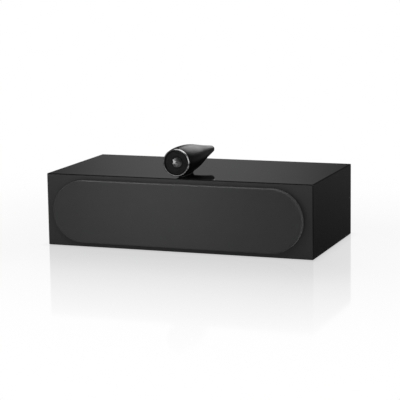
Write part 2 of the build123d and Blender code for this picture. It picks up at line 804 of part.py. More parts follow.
def tweeter_mesh():
    """Perforated steel cap with a flat rim, domed forward."""
    rim = TWEETER_BORE - FIT
    cap = rim - MESH_RIM
    front = RING_DEPTH
    back = RING_DEPTH + MESH_THICKNESS
    sphere = (cap ** 2 + MESH_RISE ** 2) / (2 * MESH_RISE)
    half = (cap / 2, math.sqrt(sphere ** 2 - (cap / 2) ** 2) - sphere + MESH_RISE)
    outline = [
        Line((rim, front), (cap, front)),
        ThreePointArc((cap, front), (half[0], front - half[1]), (0, front - MESH_RISE)),
        Line((0, front - MESH_RISE), (0, back - MESH_RISE)),
        ThreePointArc((0, back - MESH_RISE), (half[0], back - half[1]), (cap, back)),
        Line((cap, back), (rim, back)),
        Line((rim, back), (rim, front)),
    ]
    places = [(0, 0)]
    for row in range(1, MESH_RINGS + 1):
        places += round_the_axis(row * MESH_PITCH, 6 * row)
    hole = rod(MESH_HOLE_RADIUS, 0, back)
    return turned_face(make_face(outline)) - [Pos(x, 0, z) * hole for x, z in places]


def tweeter_faceplate():
    """Steel plate dished towards the dome, whose boss also closes the magnet gap."""
    rim = TWEETER_BORE - FIT
    landing = GAP_OUTER + TWEETER_ROLL_WIDTH + TWEETER_LANDING
    return turned(
        (rim, FACEPLATE_D),
        (rim, SEAT_D),
        (TWEETER_MAGNET_RADIUS, SEAT_D),
        (TWEETER_MAGNET_RADIUS, BOSS_D),
        (GAP_OUTER, BOSS_D),
        (GAP_OUTER, DOME_D),
        (landing, DOME_D),
        (rim - FACEPLATE_RIM_WIDTH, FACEPLATE_D),
    )


def tweeter_surround():
    """Soft roll between the dome's flange and the faceplate."""
    inner = DOME_RADIUS + DOME_FLANGE
    return half_roll(
        inner, inner + TWEETER_ROLL_WIDTH, DOME_FLANGE - DOME_WALL, TWEETER_LANDING,
        DOME_D, DOME_WALL, TWEETER_ROLL_HEIGHT,
    )


def tweeter_dome():
    """Thin dome with a flange, its coil former and the winding."""
    base = DOME_D + DOME_WALL
    sphere = (DOME_RADIUS ** 2 + DOME_RISE ** 2) / (2 * DOME_RISE)
    half = (DOME_RADIUS / 2, math.sqrt(sphere ** 2 - (DOME_RADIUS / 2) ** 2) - sphere + DOME_RISE)
    outline = [
        Line((DOME_RADIUS + DOME_FLANGE, DOME_D), (DOME_RADIUS, DOME_D)),
        ThreePointArc((DOME_RADIUS, DOME_D), (half[0], DOME_D - half[1]), (0, DOME_D - DOME_RISE)),
        Line((0, DOME_D - DOME_RISE), (0, base - DOME_RISE)),
        ThreePointArc((0, base - DOME_RISE), (half[0], base - half[1]), (DOME_RADIUS, base)),
        Line((DOME_RADIUS, base), (DOME_RADIUS + DOME_FLANGE, base)),
        Line((DOME_RADIUS + DOME_FLANGE, base), (DOME_RADIUS + DOME_FLANGE, DOME_D)),
    ]
    former = ring(DOME_RADIUS, DOME_RADIUS + DOME_WALL, DOME_D, base + DOME_FORMER_LENGTH)
    winding_start = base + DOME_FORMER_LENGTH - DOME_COIL_LENGTH
    winding = ring(
        DOME_RADIUS, DOME_RADIUS + 2 * DOME_WALL, winding_start, base + DOME_FORMER_LENGTH,
    )
    return turned_face(make_face(outline)) + former + winding


def tweeter_magnet():
    """Ring magnet behind the faceplate's boss."""
    return ring(
        GAP_OUTER + TWEETER_MAGNET_BORE, TWEETER_MAGNET_RADIUS, BOSS_D, BOSS_D + TWEETER_MAGNET_HEIGHT,
    )


def tweeter_yoke():
    """Back plate and pole in one piece."""
    pole = DOME_RADIUS - COIL_CLEARANCE
    plate_front = BOSS_D + TWEETER_MAGNET_HEIGHT
    return turned(
        (0, SEAT_D),
        (pole, SEAT_D),
        (pole, plate_front),
        (TWEETER_MAGNET_RADIUS - PLATE_STEP, plate_front),
        (TWEETER_MAGNET_RADIUS - PLATE_STEP, TWEETER_BACK_D),
        (0, TWEETER_BACK_D),
    )


# Rear of the cabinet

def port(x):
    """Flared reflex port: outer flange, collar through the panel and a tube into the cabinet."""
    mouth = PORT_RADIUS + PORT_FLARE
    bend = PORT_FLARE * math.sin(math.pi / 4)
    throat = PORT_FLANGE - PORT_FLARE
    outline = [
        ThreePointArc((mouth, PORT_FLANGE), (mouth - bend, throat + bend), (PORT_RADIUS, throat)),
        Polyline(
            (PORT_RADIUS, throat),
            (PORT_RADIUS, -PORT_LENGTH),
            (PORT_RADIUS + PORT_WALL, -PORT_LENGTH),
            (PORT_RADIUS + PORT_WALL, -REAR_THICKNESS),
            (port_collar(), -REAR_THICKNESS),
            (port_collar(), 0),
            (port_collar() + PORT_FLANGE_WIDTH, 0),
            (port_collar() + PORT_FLANGE_WIDTH, PORT_FLANGE),
            (mouth, PORT_FLANGE),
        ),
    ]
    return Pos(x, REAR_Y, UNIT_Z) * turned_face(make_face(outline))


def tray_outline(extra):
    """Front-view outline of the terminal tray's well, widened all round."""
    return RectangleRounded(TRAY_WIDTH + 2 * extra, TRAY_HEIGHT + 2 * extra, TRAY_CORNER + extra)


def terminal_tray():
    """Moulded well with a flange on the rear panel and two holes for the posts."""
    at = Pos(0, 0, UNIT_Z)
    tray = along_y(tray_outline(TRAY_FLANGE_WIDTH), REAR_Y, REAR_Y + TRAY_FLANGE)
    tray += along_y(tray_outline(0), TRAY_FLOOR_Y - TRAY_WALL, REAR_Y)
    tray -= along_y(tray_outline(-TRAY_WALL), TRAY_FLOOR_Y, REAR_Y + TRAY_FLANGE)
    hole = rod(POST_RADIUS + FIT, TRAY_FLOOR_Y - TRAY_WALL, TRAY_FLOOR_Y)
    tray -= [Pos(x, 0, 0) * hole for x in post_columns()]
    return at * tray - tray_screws(FIT)


def tray_screws(extra=0.0):
    """Four screws through the corners of the tray's flange, or their holes."""
    x = TRAY_WIDTH / 2 + TRAY_FLANGE_WIDTH / 2
    z = TRAY_HEIGHT / 2 + TRAY_FLANGE_WIDTH / 2 - TRAY_CORNER / 2
    turned_round = Rot(180, 0, 0) * screw_form(extra)
    return [
        Pos(side * x, REAR_Y + TRAY_FLANGE, UNIT_Z + up * z) * turned_round
        for side in (-1, 1) for up in (-1, 1)
    ]


def post_columns():
    """Places of the two terminal posts across the tray."""
    return (-POST_SPACING / 2, POST_SPACING / 2)


def terminal_post(x):
    """Stud through the tray floor, with a flange outside and a socket for a plug in its end."""
    end = TRAY_FLOOR_Y + POST_LENGTH
    stud = rod(POST_RADIUS, POST_TAIL_Y, end)
    stud += rod(POST_FLANGE_RADIUS, TRAY_FLOOR_Y, TRAY_FLOOR_Y + POST_FLANGE)
    stud -= rod(PLUG_SOCKET_RADIUS, end - PLUG_SOCKET_DEPTH, end)
    return Pos(x, 0, UNIT_Z) * stud


def terminal_collar(x):
    """Loose collar that clamps a wire against the post's flange."""
    start = TRAY_FLOOR_Y + POST_FLANGE
    return Pos(x, 0, UNIT_Z) * ring(POST_RADIUS + SOFT_GAP, COLLAR_RADIUS, start, start + COLLAR_HEIGHT)


def terminal_cap(x):
    """Ridged cap that screws along the post."""
    start = TRAY_FLOOR_Y + POST_FLANGE + COLLAR_HEIGHT + CAP_GAP
    cap = rod(CAP_RADIUS, start, start + CAP_HEIGHT)
    ridge = rod(CAP_RIDGE_RADIUS, start, start + CAP_HEIGHT)
    cap += [Pos(rx, 0, rz) * ridge for rx, rz in round_the_axis(CAP_RADIUS, CAP_RIDGES)]
    cap -= rod(POST_RADIUS + SOFT_GAP, start, start + CAP_HEIGHT)
    return Pos(x, 0, UNIT_Z) * cap


# Crossover and leads

def crossover_board():
    """Circuit board on four feet, with its row of square resistors soldered down."""
    board = block(
        (-BOARD_WIDTH / 2, BOARD_WIDTH / 2),
        (BOARD_FRONT_Y, BOARD_BACK_Y),
        (BOARD_Z, BOARD_TOP),
    )
    foot = upright(Circle(BOARD_FOOT_RADIUS), WALL, BOARD_Z)
    reach_x = BOARD_WIDTH / 2 - BOARD_FOOT_EDGE
    reach_y = BOARD_DEPTH / 2 - BOARD_FOOT_EDGE
    board += [Pos(sx * reach_x, BOARD_Y + sy * reach_y) * foot for sx in (-1, 1) for sy in (-1, 1)]
    resistor = block(
        (-RESISTOR_LENGTH / 2, RESISTOR_LENGTH / 2),
        (-RESISTOR_SIZE / 2, RESISTOR_SIZE / 2),
        (BOARD_TOP, BOARD_TOP + RESISTOR_SIZE),
    )
    return board + [Pos(i * CAPACITOR_PITCH, BOARD_Y + RESISTOR_ROW) * resistor for i in (-1, 0, 1)]


def crossover_coils():
    """Three air-cored coils standing on the board."""
    coil = upright(Circle(COIL_RADIUS) - Circle(COIL_BORE), BOARD_TOP, BOARD_TOP + COIL_HEIGHT)
    return Compound(children=[Pos(i * COIL_PITCH, BOARD_Y + COIL_ROW) * coil for i in (-1, 0, 1)])


def crossover_capacitors():
    """Three film capacitors lying on the board."""
    can = Rot(0, 90, 0) * Cylinder(CAPACITOR_RADIUS, CAPACITOR_LENGTH)
    height = BOARD_TOP + CAPACITOR_RADIUS + FIT
    return Compound(
        children=[Pos(i * CAPACITOR_PITCH, BOARD_Y + CAPACITOR_ROW, height) * can for i in (-1, 0, 1)]
    )


def terminal_block_back(u):
    """Depth and height of the middle of a terminal block's back face, where the unit's lead ends."""
    depth = u.seat - CASTING_WALL
    return FRONT_Y + depth, UNIT_Z - u.spider - CASTING_WALL - TERMINAL_BLOCK / 2


def bass_lead(side):
    """Lead from the board through the divider and forward to a bass unit's terminal block."""
    y, z = terminal_block_back(BASS)
    start_x = side * (BOARD_WIDTH / 2 - BASS_LEAD_SIDE)
    return lead(
        (start_x, LEAD_START_Y, BOARD_TOP),
        (start_x, LEAD_START_Y, LEAD_Z),
        (side * (BASS_CHAMBER_INNER_X + LEAD_RUN), LEAD_START_Y, LEAD_Z),
        (side * BASS_X, y + LEAD_RUN, z),
        (side * BASS_X, y, z),
    )


def midrange_lead():
    """Lead from the board forward to the midrange unit's terminal block."""
    y, z = terminal_block_back(MIDRANGE)
    return lead(
        (0, LEAD_START_Y, BOARD_TOP),
        (0, LEAD_START_Y, LEAD_Z),
        (0, y + LEAD_RUN, z),
        (0, y, z),
    )


def tweeter_lead():
    """Lead from the board up through the cabinet top and the neck to the back of the tweeter."""
    x = BOARD_WIDTH / 2 - TWEETER_LEAD_SIDE
    run_z = CEILING_Z - LEAD_DROP
    return lead(
        (x, LEAD_START_Y, BOARD_TOP),
        (x, LEAD_START_Y, run_z),
        (0, TWEETER_LEAD_Y, run_z),
        (0, TWEETER_LEAD_Y, POD_Z),
        (0, POD_Y + TWEETER_BACK_D, POD_Z),
    )


def input_lead(x):
    """Lead from the tail of a terminal post forward and down to the board."""
    return lead(
        (x, POST_TAIL_Y, UNIT_Z),
        (x, BOARD_BACK_Y - LEAD_EDGE, UNIT_Z),
        (x, BOARD_BACK_Y - LEAD_EDGE, BOARD_TOP),
    )


def internal_leads():
    """All the leads inside the cabinet."""
    leads = [bass_lead(-1), bass_lead(1), midrange_lead(), tweeter_lead()]
    leads += [input_lead(x) for x in post_columns()]
    return Compound(children=leads)


def screws():
    """Every countersunk screw: those of the three cone units and those of the tray."""
    group = [
        Pos(x + sx, FRONT_Y, UNIT_Z + sz) * screw_form()
        for u, x in UNITS.values() for sx, sz in unit_screw_places(u)
    ]
    return Compound(children=group + tray_screws())


# The whole loudspeaker by node name

nodes = wrap_panels()
nodes["front_baffle"] = front_baffle()
nodes["rear_panel"] = rear_panel()
nodes["left_divider"] = divider(-1)
nodes["right_divider"] = divider(1)
nodes["grille_frame"] = grille_frame()
nodes["grille_cloth"] = grille_cloth()
nodes["grille_magnets"] = disc_magnets(FRONT_Y - GRILLE_MAGNET_DEPTH, FRONT_Y)
nodes["baffle_magnets"] = disc_magnets(FRONT_Y, FRONT_Y + BAFFLE_MAGNET_DEPTH)

for unit_name, (unit, unit_x) in UNITS.items():
    for node, piece in cone_unit(unit_name, unit).items():
        nodes[node] = Pos(unit_x, FRONT_Y, UNIT_Z) * piece

nodes["tweeter_housing"] = tweeter_housing()
nodes["tweeter_seal"] = tweeter_seal()
nodes["tweeter_bolt"] = tweeter_bolt()
nodes["tweeter_ring"] = in_pod(tweeter_ring())
nodes["tweeter_mesh"] = in_pod(tweeter_mesh())
nodes["tweeter_faceplate"] = in_pod(tweeter_faceplate())
nodes["tweeter_surround"] = in_pod(tweeter_surround())
nodes["tweeter_dome"] = in_pod(tweeter_dome())
nodes["tweeter_magnet"] = in_pod(tweeter_magnet())
nodes["tweeter_yoke"] = in_pod(tweeter_yoke())

nodes["port_left"] = port(-PORT_X)
nodes["port_right"] = port(PORT_X)
nodes["terminal_tray"] = terminal_tray()
nodes["terminal_posts"] = Compound(children=[terminal_post(x) for x in post_columns()])
for colour, column in zip(("black", "red"), post_columns()):
    nodes[f"terminal_collar_{colour}"] = terminal_collar(column)
    nodes[f"terminal_cap_{colour}"] = terminal_cap(column)

nodes["crossover_board"] = crossover_board()
nodes["crossover_coils"] = crossover_coils()
nodes["crossover_capacitors"] = crossover_capacitors()
nodes["internal_leads"] = internal_leads()
nodes["screws"] = screws()

os.makedirs("parts", exist_ok=True)
for node, solid in nodes.items():
    export_step(solid, f"parts/{node}.step")
print(len(nodes), "nodes")
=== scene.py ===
# %% [markdown]
# # A centre channel loudspeaker in black lacquer
# The construction is already there as a fixed frame of solids: a low lacquered cabinet, an obround cloth
# grille, a tweeter in a tapered pod on top, and all that is inside. This lesson gives each solid its finish and
# adds the few pieces that are better made as surfaces: the stretched cloth, the fine guard over the tweeter, the
# screw heads and the threads. The frame's own solids are never moved or reshaped.

# %% Load the frame
import json
import math

import bmesh
import bpy
import numpy as np
from mathutils import Matrix, Vector


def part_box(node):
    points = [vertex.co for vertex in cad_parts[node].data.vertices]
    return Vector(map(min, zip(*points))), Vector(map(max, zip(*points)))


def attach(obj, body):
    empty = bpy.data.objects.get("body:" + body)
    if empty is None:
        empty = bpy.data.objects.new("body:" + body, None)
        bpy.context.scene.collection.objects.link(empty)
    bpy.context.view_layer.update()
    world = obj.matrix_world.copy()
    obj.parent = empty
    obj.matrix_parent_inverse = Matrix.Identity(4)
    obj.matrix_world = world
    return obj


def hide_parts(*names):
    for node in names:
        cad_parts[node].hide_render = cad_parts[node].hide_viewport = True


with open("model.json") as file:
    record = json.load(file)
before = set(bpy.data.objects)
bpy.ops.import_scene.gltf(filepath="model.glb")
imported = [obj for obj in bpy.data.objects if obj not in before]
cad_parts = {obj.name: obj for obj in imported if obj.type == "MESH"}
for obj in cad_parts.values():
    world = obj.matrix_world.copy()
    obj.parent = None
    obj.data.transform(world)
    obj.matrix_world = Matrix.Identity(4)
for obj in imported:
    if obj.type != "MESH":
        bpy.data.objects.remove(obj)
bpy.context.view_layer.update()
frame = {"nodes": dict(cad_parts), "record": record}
nodes = frame["nodes"]
MM = 0.001

# %% [markdown]
# ## The camera
# The photograph looks at the speaker from its right and a little above, through a long lens. The camera's place
# and turn were worked out from the seven corners of the cabinet that the photograph shows. The turn is built from
# three axes instead of Euler angles, because yaw, pitch and roll then each have one plain line.

# %% Camera
IMAGE_SIDE = 400
FOCAL_PIXELS = 1603.0
SENSOR_WIDTH = 36.0
CAMERA_PLACE = Vector((1.4901, -4.0282, 0.8476))
CAMERA_YAW = math.radians(-20.336)
CAMERA_PITCH = math.radians(9.770)
CAMERA_ROLL = math.radians(0.825)


def camera_turn(yaw, pitch, roll):
    """Right, up and back of the camera as columns: yaw about Z, then pitch down, then roll about the view."""
    forward = Vector((math.sin(yaw) * math.cos(pitch), math.cos(yaw) * math.cos(pitch), -math.sin(pitch)))
    level = Vector((math.cos(yaw), -math.sin(yaw), 0.0))
    down = forward.cross(level)
    right = level * math.cos(roll) + down * math.sin(roll)
    up = level * math.sin(roll) - down * math.cos(roll)
    return Matrix((right, up, -forward)).transposed()


camera_data = bpy.data.cameras.new("camera")
camera_data.sensor_width = SENSOR_WIDTH
camera_data.lens = SENSOR_WIDTH * FOCAL_PIXELS / IMAGE_SIDE
camera = bpy.data.objects.new("camera", camera_data)
turn = camera_turn(CAMERA_YAW, CAMERA_PITCH, CAMERA_ROLL)
camera.matrix_world = Matrix.Translation(CAMERA_PLACE) @ turn.to_4x4()
bpy.context.scene.collection.objects.link(camera)
bpy.context.scene.camera = camera
bpy.context.scene.view_settings.view_transform = "Standard"
print("lens", round(camera_data.lens, 1), "mm")

# %% [markdown]
# ## Small helpers for shaders
# Every shader below is a handful of nodes. Four helpers keep the cells short: one adds a node and sets its
# sockets, one does a sum on two sockets, one maps a value to greys, and one makes a material and returns its
# Principled shader.

# %% Shader helpers


def add(tree, kind, values=None, **settings):
    """Add a shader node, set its properties and then its input sockets by name or number."""
    node = tree.nodes.new("ShaderNode" + kind)
    for name, value in settings.items():
        setattr(node, name, value)
    for socket, value in (values or {}).items():
        node.inputs[socket].default_value = value
    return node


def math_node(tree, operation, first, second=None, clamp=False):
    """Math node on two sockets or numbers; returns its output socket."""
    node = add(tree, "Math", operation=operation, use_clamp=clamp)
    for socket, value in zip(node.inputs, (first, second)):
        if value is None:
            continue
        if isinstance(value, (int, float)):
            socket.default_value = value
        else:
            tree.links.new(value, socket)
    return node.outputs[0]


def ramp_node(tree, factor, stops):
    """Colour ramp of grey stops, given as (place, grey) pairs; returns its colour socket."""
    node = add(tree, "ValToRGB")
    elements = node.color_ramp.elements
    while len(elements) < len(stops):
        elements.new(0.5)
    for element, (place, grey) in zip(elements, stops):
        element.position = place
        element.color = (grey, grey, grey, 1.0)
    tree.links.new(factor, node.inputs["Fac"])
    return node.outputs["Color"]


def new_material(name, **sockets):
    """Material with one Principled shader whose constant sockets are set by name."""
    material = bpy.data.materials.new(name)
    material.use_nodes = True
    shader = material.node_tree.nodes["Principled BSDF"]
    for socket, value in sockets.items():
        shader.inputs[socket.replace("_", " ")].default_value = value
    return material, material.node_tree, shader


# %% [markdown]
# ## The floor
# The speaker stands on a white floor that mirrors it. Seen by the camera the floor is white, and near the
# speaker it turns into a soft mirror that fades with the distance from the cabinet's foot. Seen in the lacquer
# the floor shows a painted pool of light in front, with painted dark zones round it where a studio would hang
# black flags for gloss black. The painted pool draws the pale reflected gradient on the lacquered front, and the
# painted dark zones keep the side and the edges dark. Three clear sheets on the floor are met only by the
# camera's own rays. Rays that passed all three are counted as such, so the floor can mirror a white room while
# the lacquer mirrors the dark one. One sheet is not enough, because a ray that passes through a lamp counts as
# one clear layer too.

# %% Floor helpers


def mix_shader(tree, factor, first, second):
    """Mix two shaders by a socket or a number; returns the output socket."""
    node = add(tree, "MixShader")
    if isinstance(factor, (int, float)):
        node.inputs[0].default_value = factor
    else:
        tree.links.new(factor, node.inputs[0])
    tree.links.new(first, node.inputs[1])
    tree.links.new(second, node.inputs[2])
    return node.outputs[0]


def vector_node(tree, operation, first, second=None, output="Vector"):
    """Vector maths on a socket and a constant; returns the chosen output socket."""
    node = add(tree, "VectorMath", operation=operation)
    tree.links.new(first, node.inputs[0])
    if second is not None:
        node.inputs[1].default_value = second
    return node.outputs[output]


def fade(tree, value, start, end, low, high):
    """Linear change from low at start to high at end, held outside; returns the socket."""
    node = add(tree, "MapRange", {"From Min": start, "From Max": end, "To Min": low, "To Max": high})
    tree.links.new(value, node.inputs["Value"])
    return node.outputs["Result"]


# %% Floor
FLOOR_SIDE = 60.0
FLOOR_DROP = 0.0001
CLEAR_SHEETS = 3
POOL_FAR, POOL_NEAR = -1.32, -0.17
POOL_STOPS = (
    (0.0, 0.0), (0.05, 0.92), (0.10, 0.88), (0.24, 0.72), (0.45, 0.56),
    (0.84, 0.5), (0.95, 0.36), (0.985, 0.3), (1.0, 0.0),
)
POOL_MIDDLE, POOL_HALF = -0.37, 1.2
POOL_ENDS = ((0.0, 1.0), (0.3, 0.92), (0.6, 0.88), (1.0, 0.4))
# Painted dark zones: where the floor's painted pool of light is cut off to the right, and the grey it keeps behind.
PAINTED_DARK_RIGHT = (0.45, 0.60)
PAINTED_DARK_GREY = (0.035, 0.07)
PAINTED_DARK_REACH = 1.2
GLOSS_REACH = 1.2
GLOSS_STOPS = ((0.0, 0.35), (0.125, 0.29), (0.245, 0.205), (0.37, 0.14), (0.61, 0.042), (0.86, 0.006), (1.0, 0.0))
FLOOR_ROUGHNESS = 0.07
MATT_GREY = 0.4
SHADOW_SHARE = 0.10
SHADOW_REACH = 0.025

foot_low, foot_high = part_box("bottom_panel")
foot_half = (foot_high.x, foot_high.y, 0.0)
floor_material = bpy.data.materials.new("white_floor")
floor_material.use_nodes = True
tree = floor_material.node_tree
tree.nodes.clear()
light_path = add(tree, "LightPath")
place = add(tree, "NewGeometry").outputs["Position"]
axes = add(tree, "SeparateXYZ")
tree.links.new(place, axes.inputs[0])

outside = vector_node(tree, "SUBTRACT", vector_node(tree, "ABSOLUTE", place), foot_half)
from_foot = vector_node(tree, "LENGTH", vector_node(tree, "MAXIMUM", outside, (0.0, 0.0, 0.0)), None, "Value")
gloss = ramp_node(tree, math_node(tree, "DIVIDE", from_foot, GLOSS_REACH), GLOSS_STOPS)
shadow = fade(tree, from_foot, 0.0, SHADOW_REACH, SHADOW_SHARE, 0.0)

# Painted light and shade on the floor, seen only in reflections: a pool of light ahead, dark zones right and behind.
pool_ahead = ramp_node(tree, fade(tree, axes.outputs["Y"], POOL_FAR, POOL_NEAR, 0.0, 1.0), POOL_STOPS)
pool_aside = math_node(tree, "ABSOLUTE", math_node(tree, "SUBTRACT", axes.outputs["X"], POOL_MIDDLE))
pool_across = ramp_node(tree, math_node(tree, "DIVIDE", pool_aside, POOL_HALF), POOL_ENDS)
pool = math_node(tree, "MULTIPLY", pool_ahead, pool_across)
pool = math_node(tree, "MULTIPLY", pool, fade(tree, axes.outputs["X"], *PAINTED_DARK_RIGHT, 1.0, 0.0))
painted_pool_grey = math_node(tree, "MAXIMUM", pool, fade(tree, axes.outputs["Y"], 0.0, PAINTED_DARK_REACH, *PAINTED_DARK_GREY))

white = add(tree, "Emission", {"Strength": 1.0})
mirror = add(tree, "BsdfGlossy", {"Roughness": FLOOR_ROUGHNESS})
matt = add(tree, "BsdfDiffuse", {"Color": (MATT_GREY, MATT_GREY, MATT_GREY, 1.0)})
# The painted pool of light glows as an emission that only mirrored rays see on the floor.
painted_pool_light = add(tree, "Emission")
tree.links.new(painted_pool_grey, painted_pool_light.inputs["Color"])
lit = mix_shader(tree, shadow, white.outputs[0], matt.outputs[0])
shown = mix_shader(tree, gloss, lit, mirror.outputs[0])
reflected = math_node(
    tree, "MAXIMUM", light_path.outputs["Is Glossy Ray"], light_path.outputs["Is Transmission Ray"]
)
seen = mix_shader(tree, light_path.outputs["Is Camera Ray"], matt.outputs[0], shown)
surface = mix_shader(tree, reflected, seen, painted_pool_light.outputs[0])
tree.links.new(surface, add(tree, "OutputMaterial").inputs["Surface"])
print("floor material", floor_material.name)

# %% Lay the floor
sheet_material = bpy.data.materials.new("clear_sheet")
sheet_material.use_nodes = True
tree = sheet_material.node_tree
tree.nodes.clear()
clear = add(tree, "BsdfTransparent")
tree.links.new(clear.outputs[0], add(tree, "OutputMaterial").inputs["Surface"])


def stage_square(name, side, height, material):
    """Level square of the stage at a height."""
    half = side / 2
    mesh = bpy.data.meshes.new(name)
    corners = [(x, y, height) for x, y in ((-half, -half), (half, -half), (half, half), (-half, half))]
    mesh.from_pydata(corners, [], [(0, 1, 2, 3)])
    mesh.materials.append(material)
    square = bpy.data.objects.new(name, mesh)
    bpy.context.scene.collection.objects.link(square)
    return square


stage_square("floor", FLOOR_SIDE, -(CLEAR_SHEETS + 1) * FLOOR_DROP, floor_material)
for layer in range(1, CLEAR_SHEETS + 1):
    sheet = stage_square(f"clear_sheet_{layer}", FLOOR_SIDE, -layer * FLOOR_DROP, sheet_material)
    for kind in ("diffuse", "glossy", "transmission", "shadow", "volume_scatter"):
        setattr(sheet, "visible_" + kind, False)
print("floor", FLOOR_SIDE, "m square under", CLEAR_SHEETS, "clear sheets")

# %% [markdown]
# ## The light
# A gloss black object shows its surroundings more than its own colour, so the room matters. Behind the speaker
# hangs a dim card with a bright middle, which is what the lacquered top mirrors. What is mirrored a second time
# stays dark, which keeps the pod's belly and its image in the top black. The lamps are a soft one in front of the
# grille, one far to the right and one behind. Five more are masked, as a studio does with black card, so that each
# reaches one thing: the front's border, the pod's back, its ring from above and from the right, and its dome.
# Masked lamps are kept weak, and the colours stay as they are written. Seen by the camera the room is white.

# %% Room
CARD_AZIMUTH = math.radians(-20.4)
CARD_STRENGTH = 0.155
CARD_STOPS = ((0.05, 0.3), (0.1, 1.0), (0.19, 1.0), (0.22, 0.0))
CARD_REACH = math.radians(6.3)
ROOM_GREY = 0.03
FIRST_MIRROR_DEPTH = 2.5
DOME_STRENGTH = 1.2
DOME_STOPS = ((0.0, 1.0), (1.0, 0.22))

world = bpy.data.worlds.new("studio")
bpy.context.scene.world = world
world.use_nodes = True
tree = world.node_tree
tree.nodes.clear()
direction = add(tree, "SeparateXYZ")
tree.links.new(add(tree, "TexCoord").outputs["Generated"], direction.inputs[0])
azimuth = math_node(tree, "ARCTAN2", direction.outputs["X"], direction.outputs["Y"])
aside = math_node(tree, "ABSOLUTE", math_node(tree, "SUBTRACT", azimuth, CARD_AZIMUTH))
card_aside = math_node(tree, "DIVIDE", aside, CARD_REACH)
card_across = math_node(tree, "SUBTRACT", 1.0, math_node(tree, "MULTIPLY", card_aside, card_aside), clamp=True)
card_up = ramp_node(tree, direction.outputs["Z"], CARD_STOPS)
card = math_node(tree, "MULTIPLY", math_node(tree, "MULTIPLY", card_up, card_across), CARD_STRENGTH)
light_path = add(tree, "LightPath")
# The background counts each bounce one further, so a first reflection comes here as two.
once = math_node(tree, "LESS_THAN", light_path.outputs["Ray Depth"], FIRST_MIRROR_DEPTH)
mirrored = math_node(tree, "MULTIPLY", math_node(tree, "ADD", card, ROOM_GREY), once)
sky = add(tree, "Background")
tree.links.new(mirrored, sky.inputs["Strength"])
dome = add(tree, "Background")
dome_up = ramp_node(tree, direction.outputs["Z"], DOME_STOPS)
tree.links.new(math_node(tree, "MULTIPLY", dome_up, DOME_STRENGTH), dome.inputs["Strength"])
plain = add(tree, "Background", {"Strength": 1.0})
for background in (sky, dome, plain):
    background.inputs["Color"].default_value = (1.0, 1.0, 1.0, 1.0)
reflected = math_node(
    tree, "MAXIMUM", light_path.outputs["Is Glossy Ray"], light_path.outputs["Is Transmission Ray"]
)
unseen = mix_shader(tree, reflected, dome.outputs[0], sky.outputs[0])
past_sheet = math_node(tree, "GREATER_THAN", light_path.outputs["Transparent Depth"], CLEAR_SHEETS - 0.5)
from_floor = math_node(tree, "MULTIPLY", reflected, past_sheet)
white_rays = math_node(tree, "MAXIMUM", light_path.outputs["Is Camera Ray"], from_floor)
backdrop = mix_shader(tree, white_rays, unseen, plain.outputs[0])
tree.links.new(backdrop, add(tree, "OutputWorld").inputs["Surface"])
print("room with a card at", round(math.degrees(CARD_AZIMUTH), 1), "degrees")

# %% Lamps
POD_SHELL = ("tweeter_housing", "tweeter_ring")


def area_lamp(name, place, target, size, power, mirrored=True, reaches=()):
    """Soft lamp of a width and height at a place, facing a target; it can be kept out of mirrors or masked."""
    data = bpy.data.lights.new(name, "AREA")
    data.shape = "RECTANGLE"
    data.size, data.size_y = size
    data.energy = power
    lamp = bpy.data.objects.new(name, data)
    aim = (Vector(target) - Vector(place)).to_track_quat("-Z", "Y").to_matrix().to_4x4()
    lamp.matrix_world = Matrix.Translation(place) @ aim
    lamp.visible_camera = False
    lamp.visible_glossy = mirrored
    bpy.context.scene.collection.objects.link(lamp)
    if reaches:
        mask = bpy.data.collections.new(name + "_mask")
        for solid_name in reaches:
            mask.objects.link(nodes[solid_name])
        lamp.light_linking.receiver_collection = mask
        lamp.light_linking.blocker_collection = mask
    return lamp


area_lamp("front_lamp", (-0.06, -0.55, 0.26), (-0.06, -0.2, 0.1), (0.3, 0.2), 1.02, mirrored=False)
area_lamp("right_lamp", (2.0, -0.4, 0.6), (0.35, -0.2, 0.1), (0.5, 0.5), 7.2)
area_lamp("rear_lamp", (1.4, 2.2, 1.5), (0.0, 0.2, 0.1), (0.8, 0.8), 20.0, mirrored=False)
area_lamp("border_lamp", (0.08, -0.26, 0.30), (0.08, -0.19, 0.19), (1.4, 0.05), 1.2, False, ("front_baffle",))
area_lamp("pod_box", (-0.115, 2.14, 1.0), (0.0, -0.06, 0.237), (1.15, 1.0), 5.6, reaches=POD_SHELL)
area_lamp("ring_lamp", (0.1, -0.35, 1.24), (0.0, -0.18, 0.237), (2.0, 0.8), 4.0, reaches=POD_SHELL)
area_lamp("ring_side_lamp", (1.1, -0.6, 0.5), (0.0, -0.18, 0.237), (0.4, 0.9), 0.65, reaches=("tweeter_ring",))
area_lamp("dome_lamp", (-1.0, -0.62, 0.28), (0.0, -0.17, 0.237), (0.4, 0.3), 6.3, reaches=("tweeter_dome",))
print("eight lamps")

# %% [markdown]
# ## Shared effects: grain, weave and turning marks
# Three effects turn up in many finishes, so each is one node group with named sockets. Grain is two sizes of
# noise, for mottled colour and fine bumps. Weave is a plain over-and-under of two sets of yarns. Turning marks
# are the fine rings that a lathe leaves round an axis. All three work in metres, on the object's own coordinates
# or, for the grille cloth, on its flat cut.

# %% Group helpers


def new_group(name, inputs, outputs):
    """Shader node group with sockets of the given kinds; returns the tree and its two ends."""
    group = bpy.data.node_groups.new(name, "ShaderNodeTree")
    for direction_name, sockets in (("INPUT", inputs), ("OUTPUT", outputs)):
        for socket, kind in sockets.items():
            group.interface.new_socket(socket, in_out=direction_name, socket_type="NodeSocket" + kind)
    return group, group.nodes.new("NodeGroupInput"), group.nodes.new("NodeGroupOutput")


def use_group(tree, group, **values):
    """Place a group in a material with its own values, given by socket name with _ for a space."""
    node = tree.nodes.new("ShaderNodeGroup")
    node.node_tree = group
    for socket, value in values.items():
        node.inputs[socket.replace("_", " ")].default_value = value
    return node


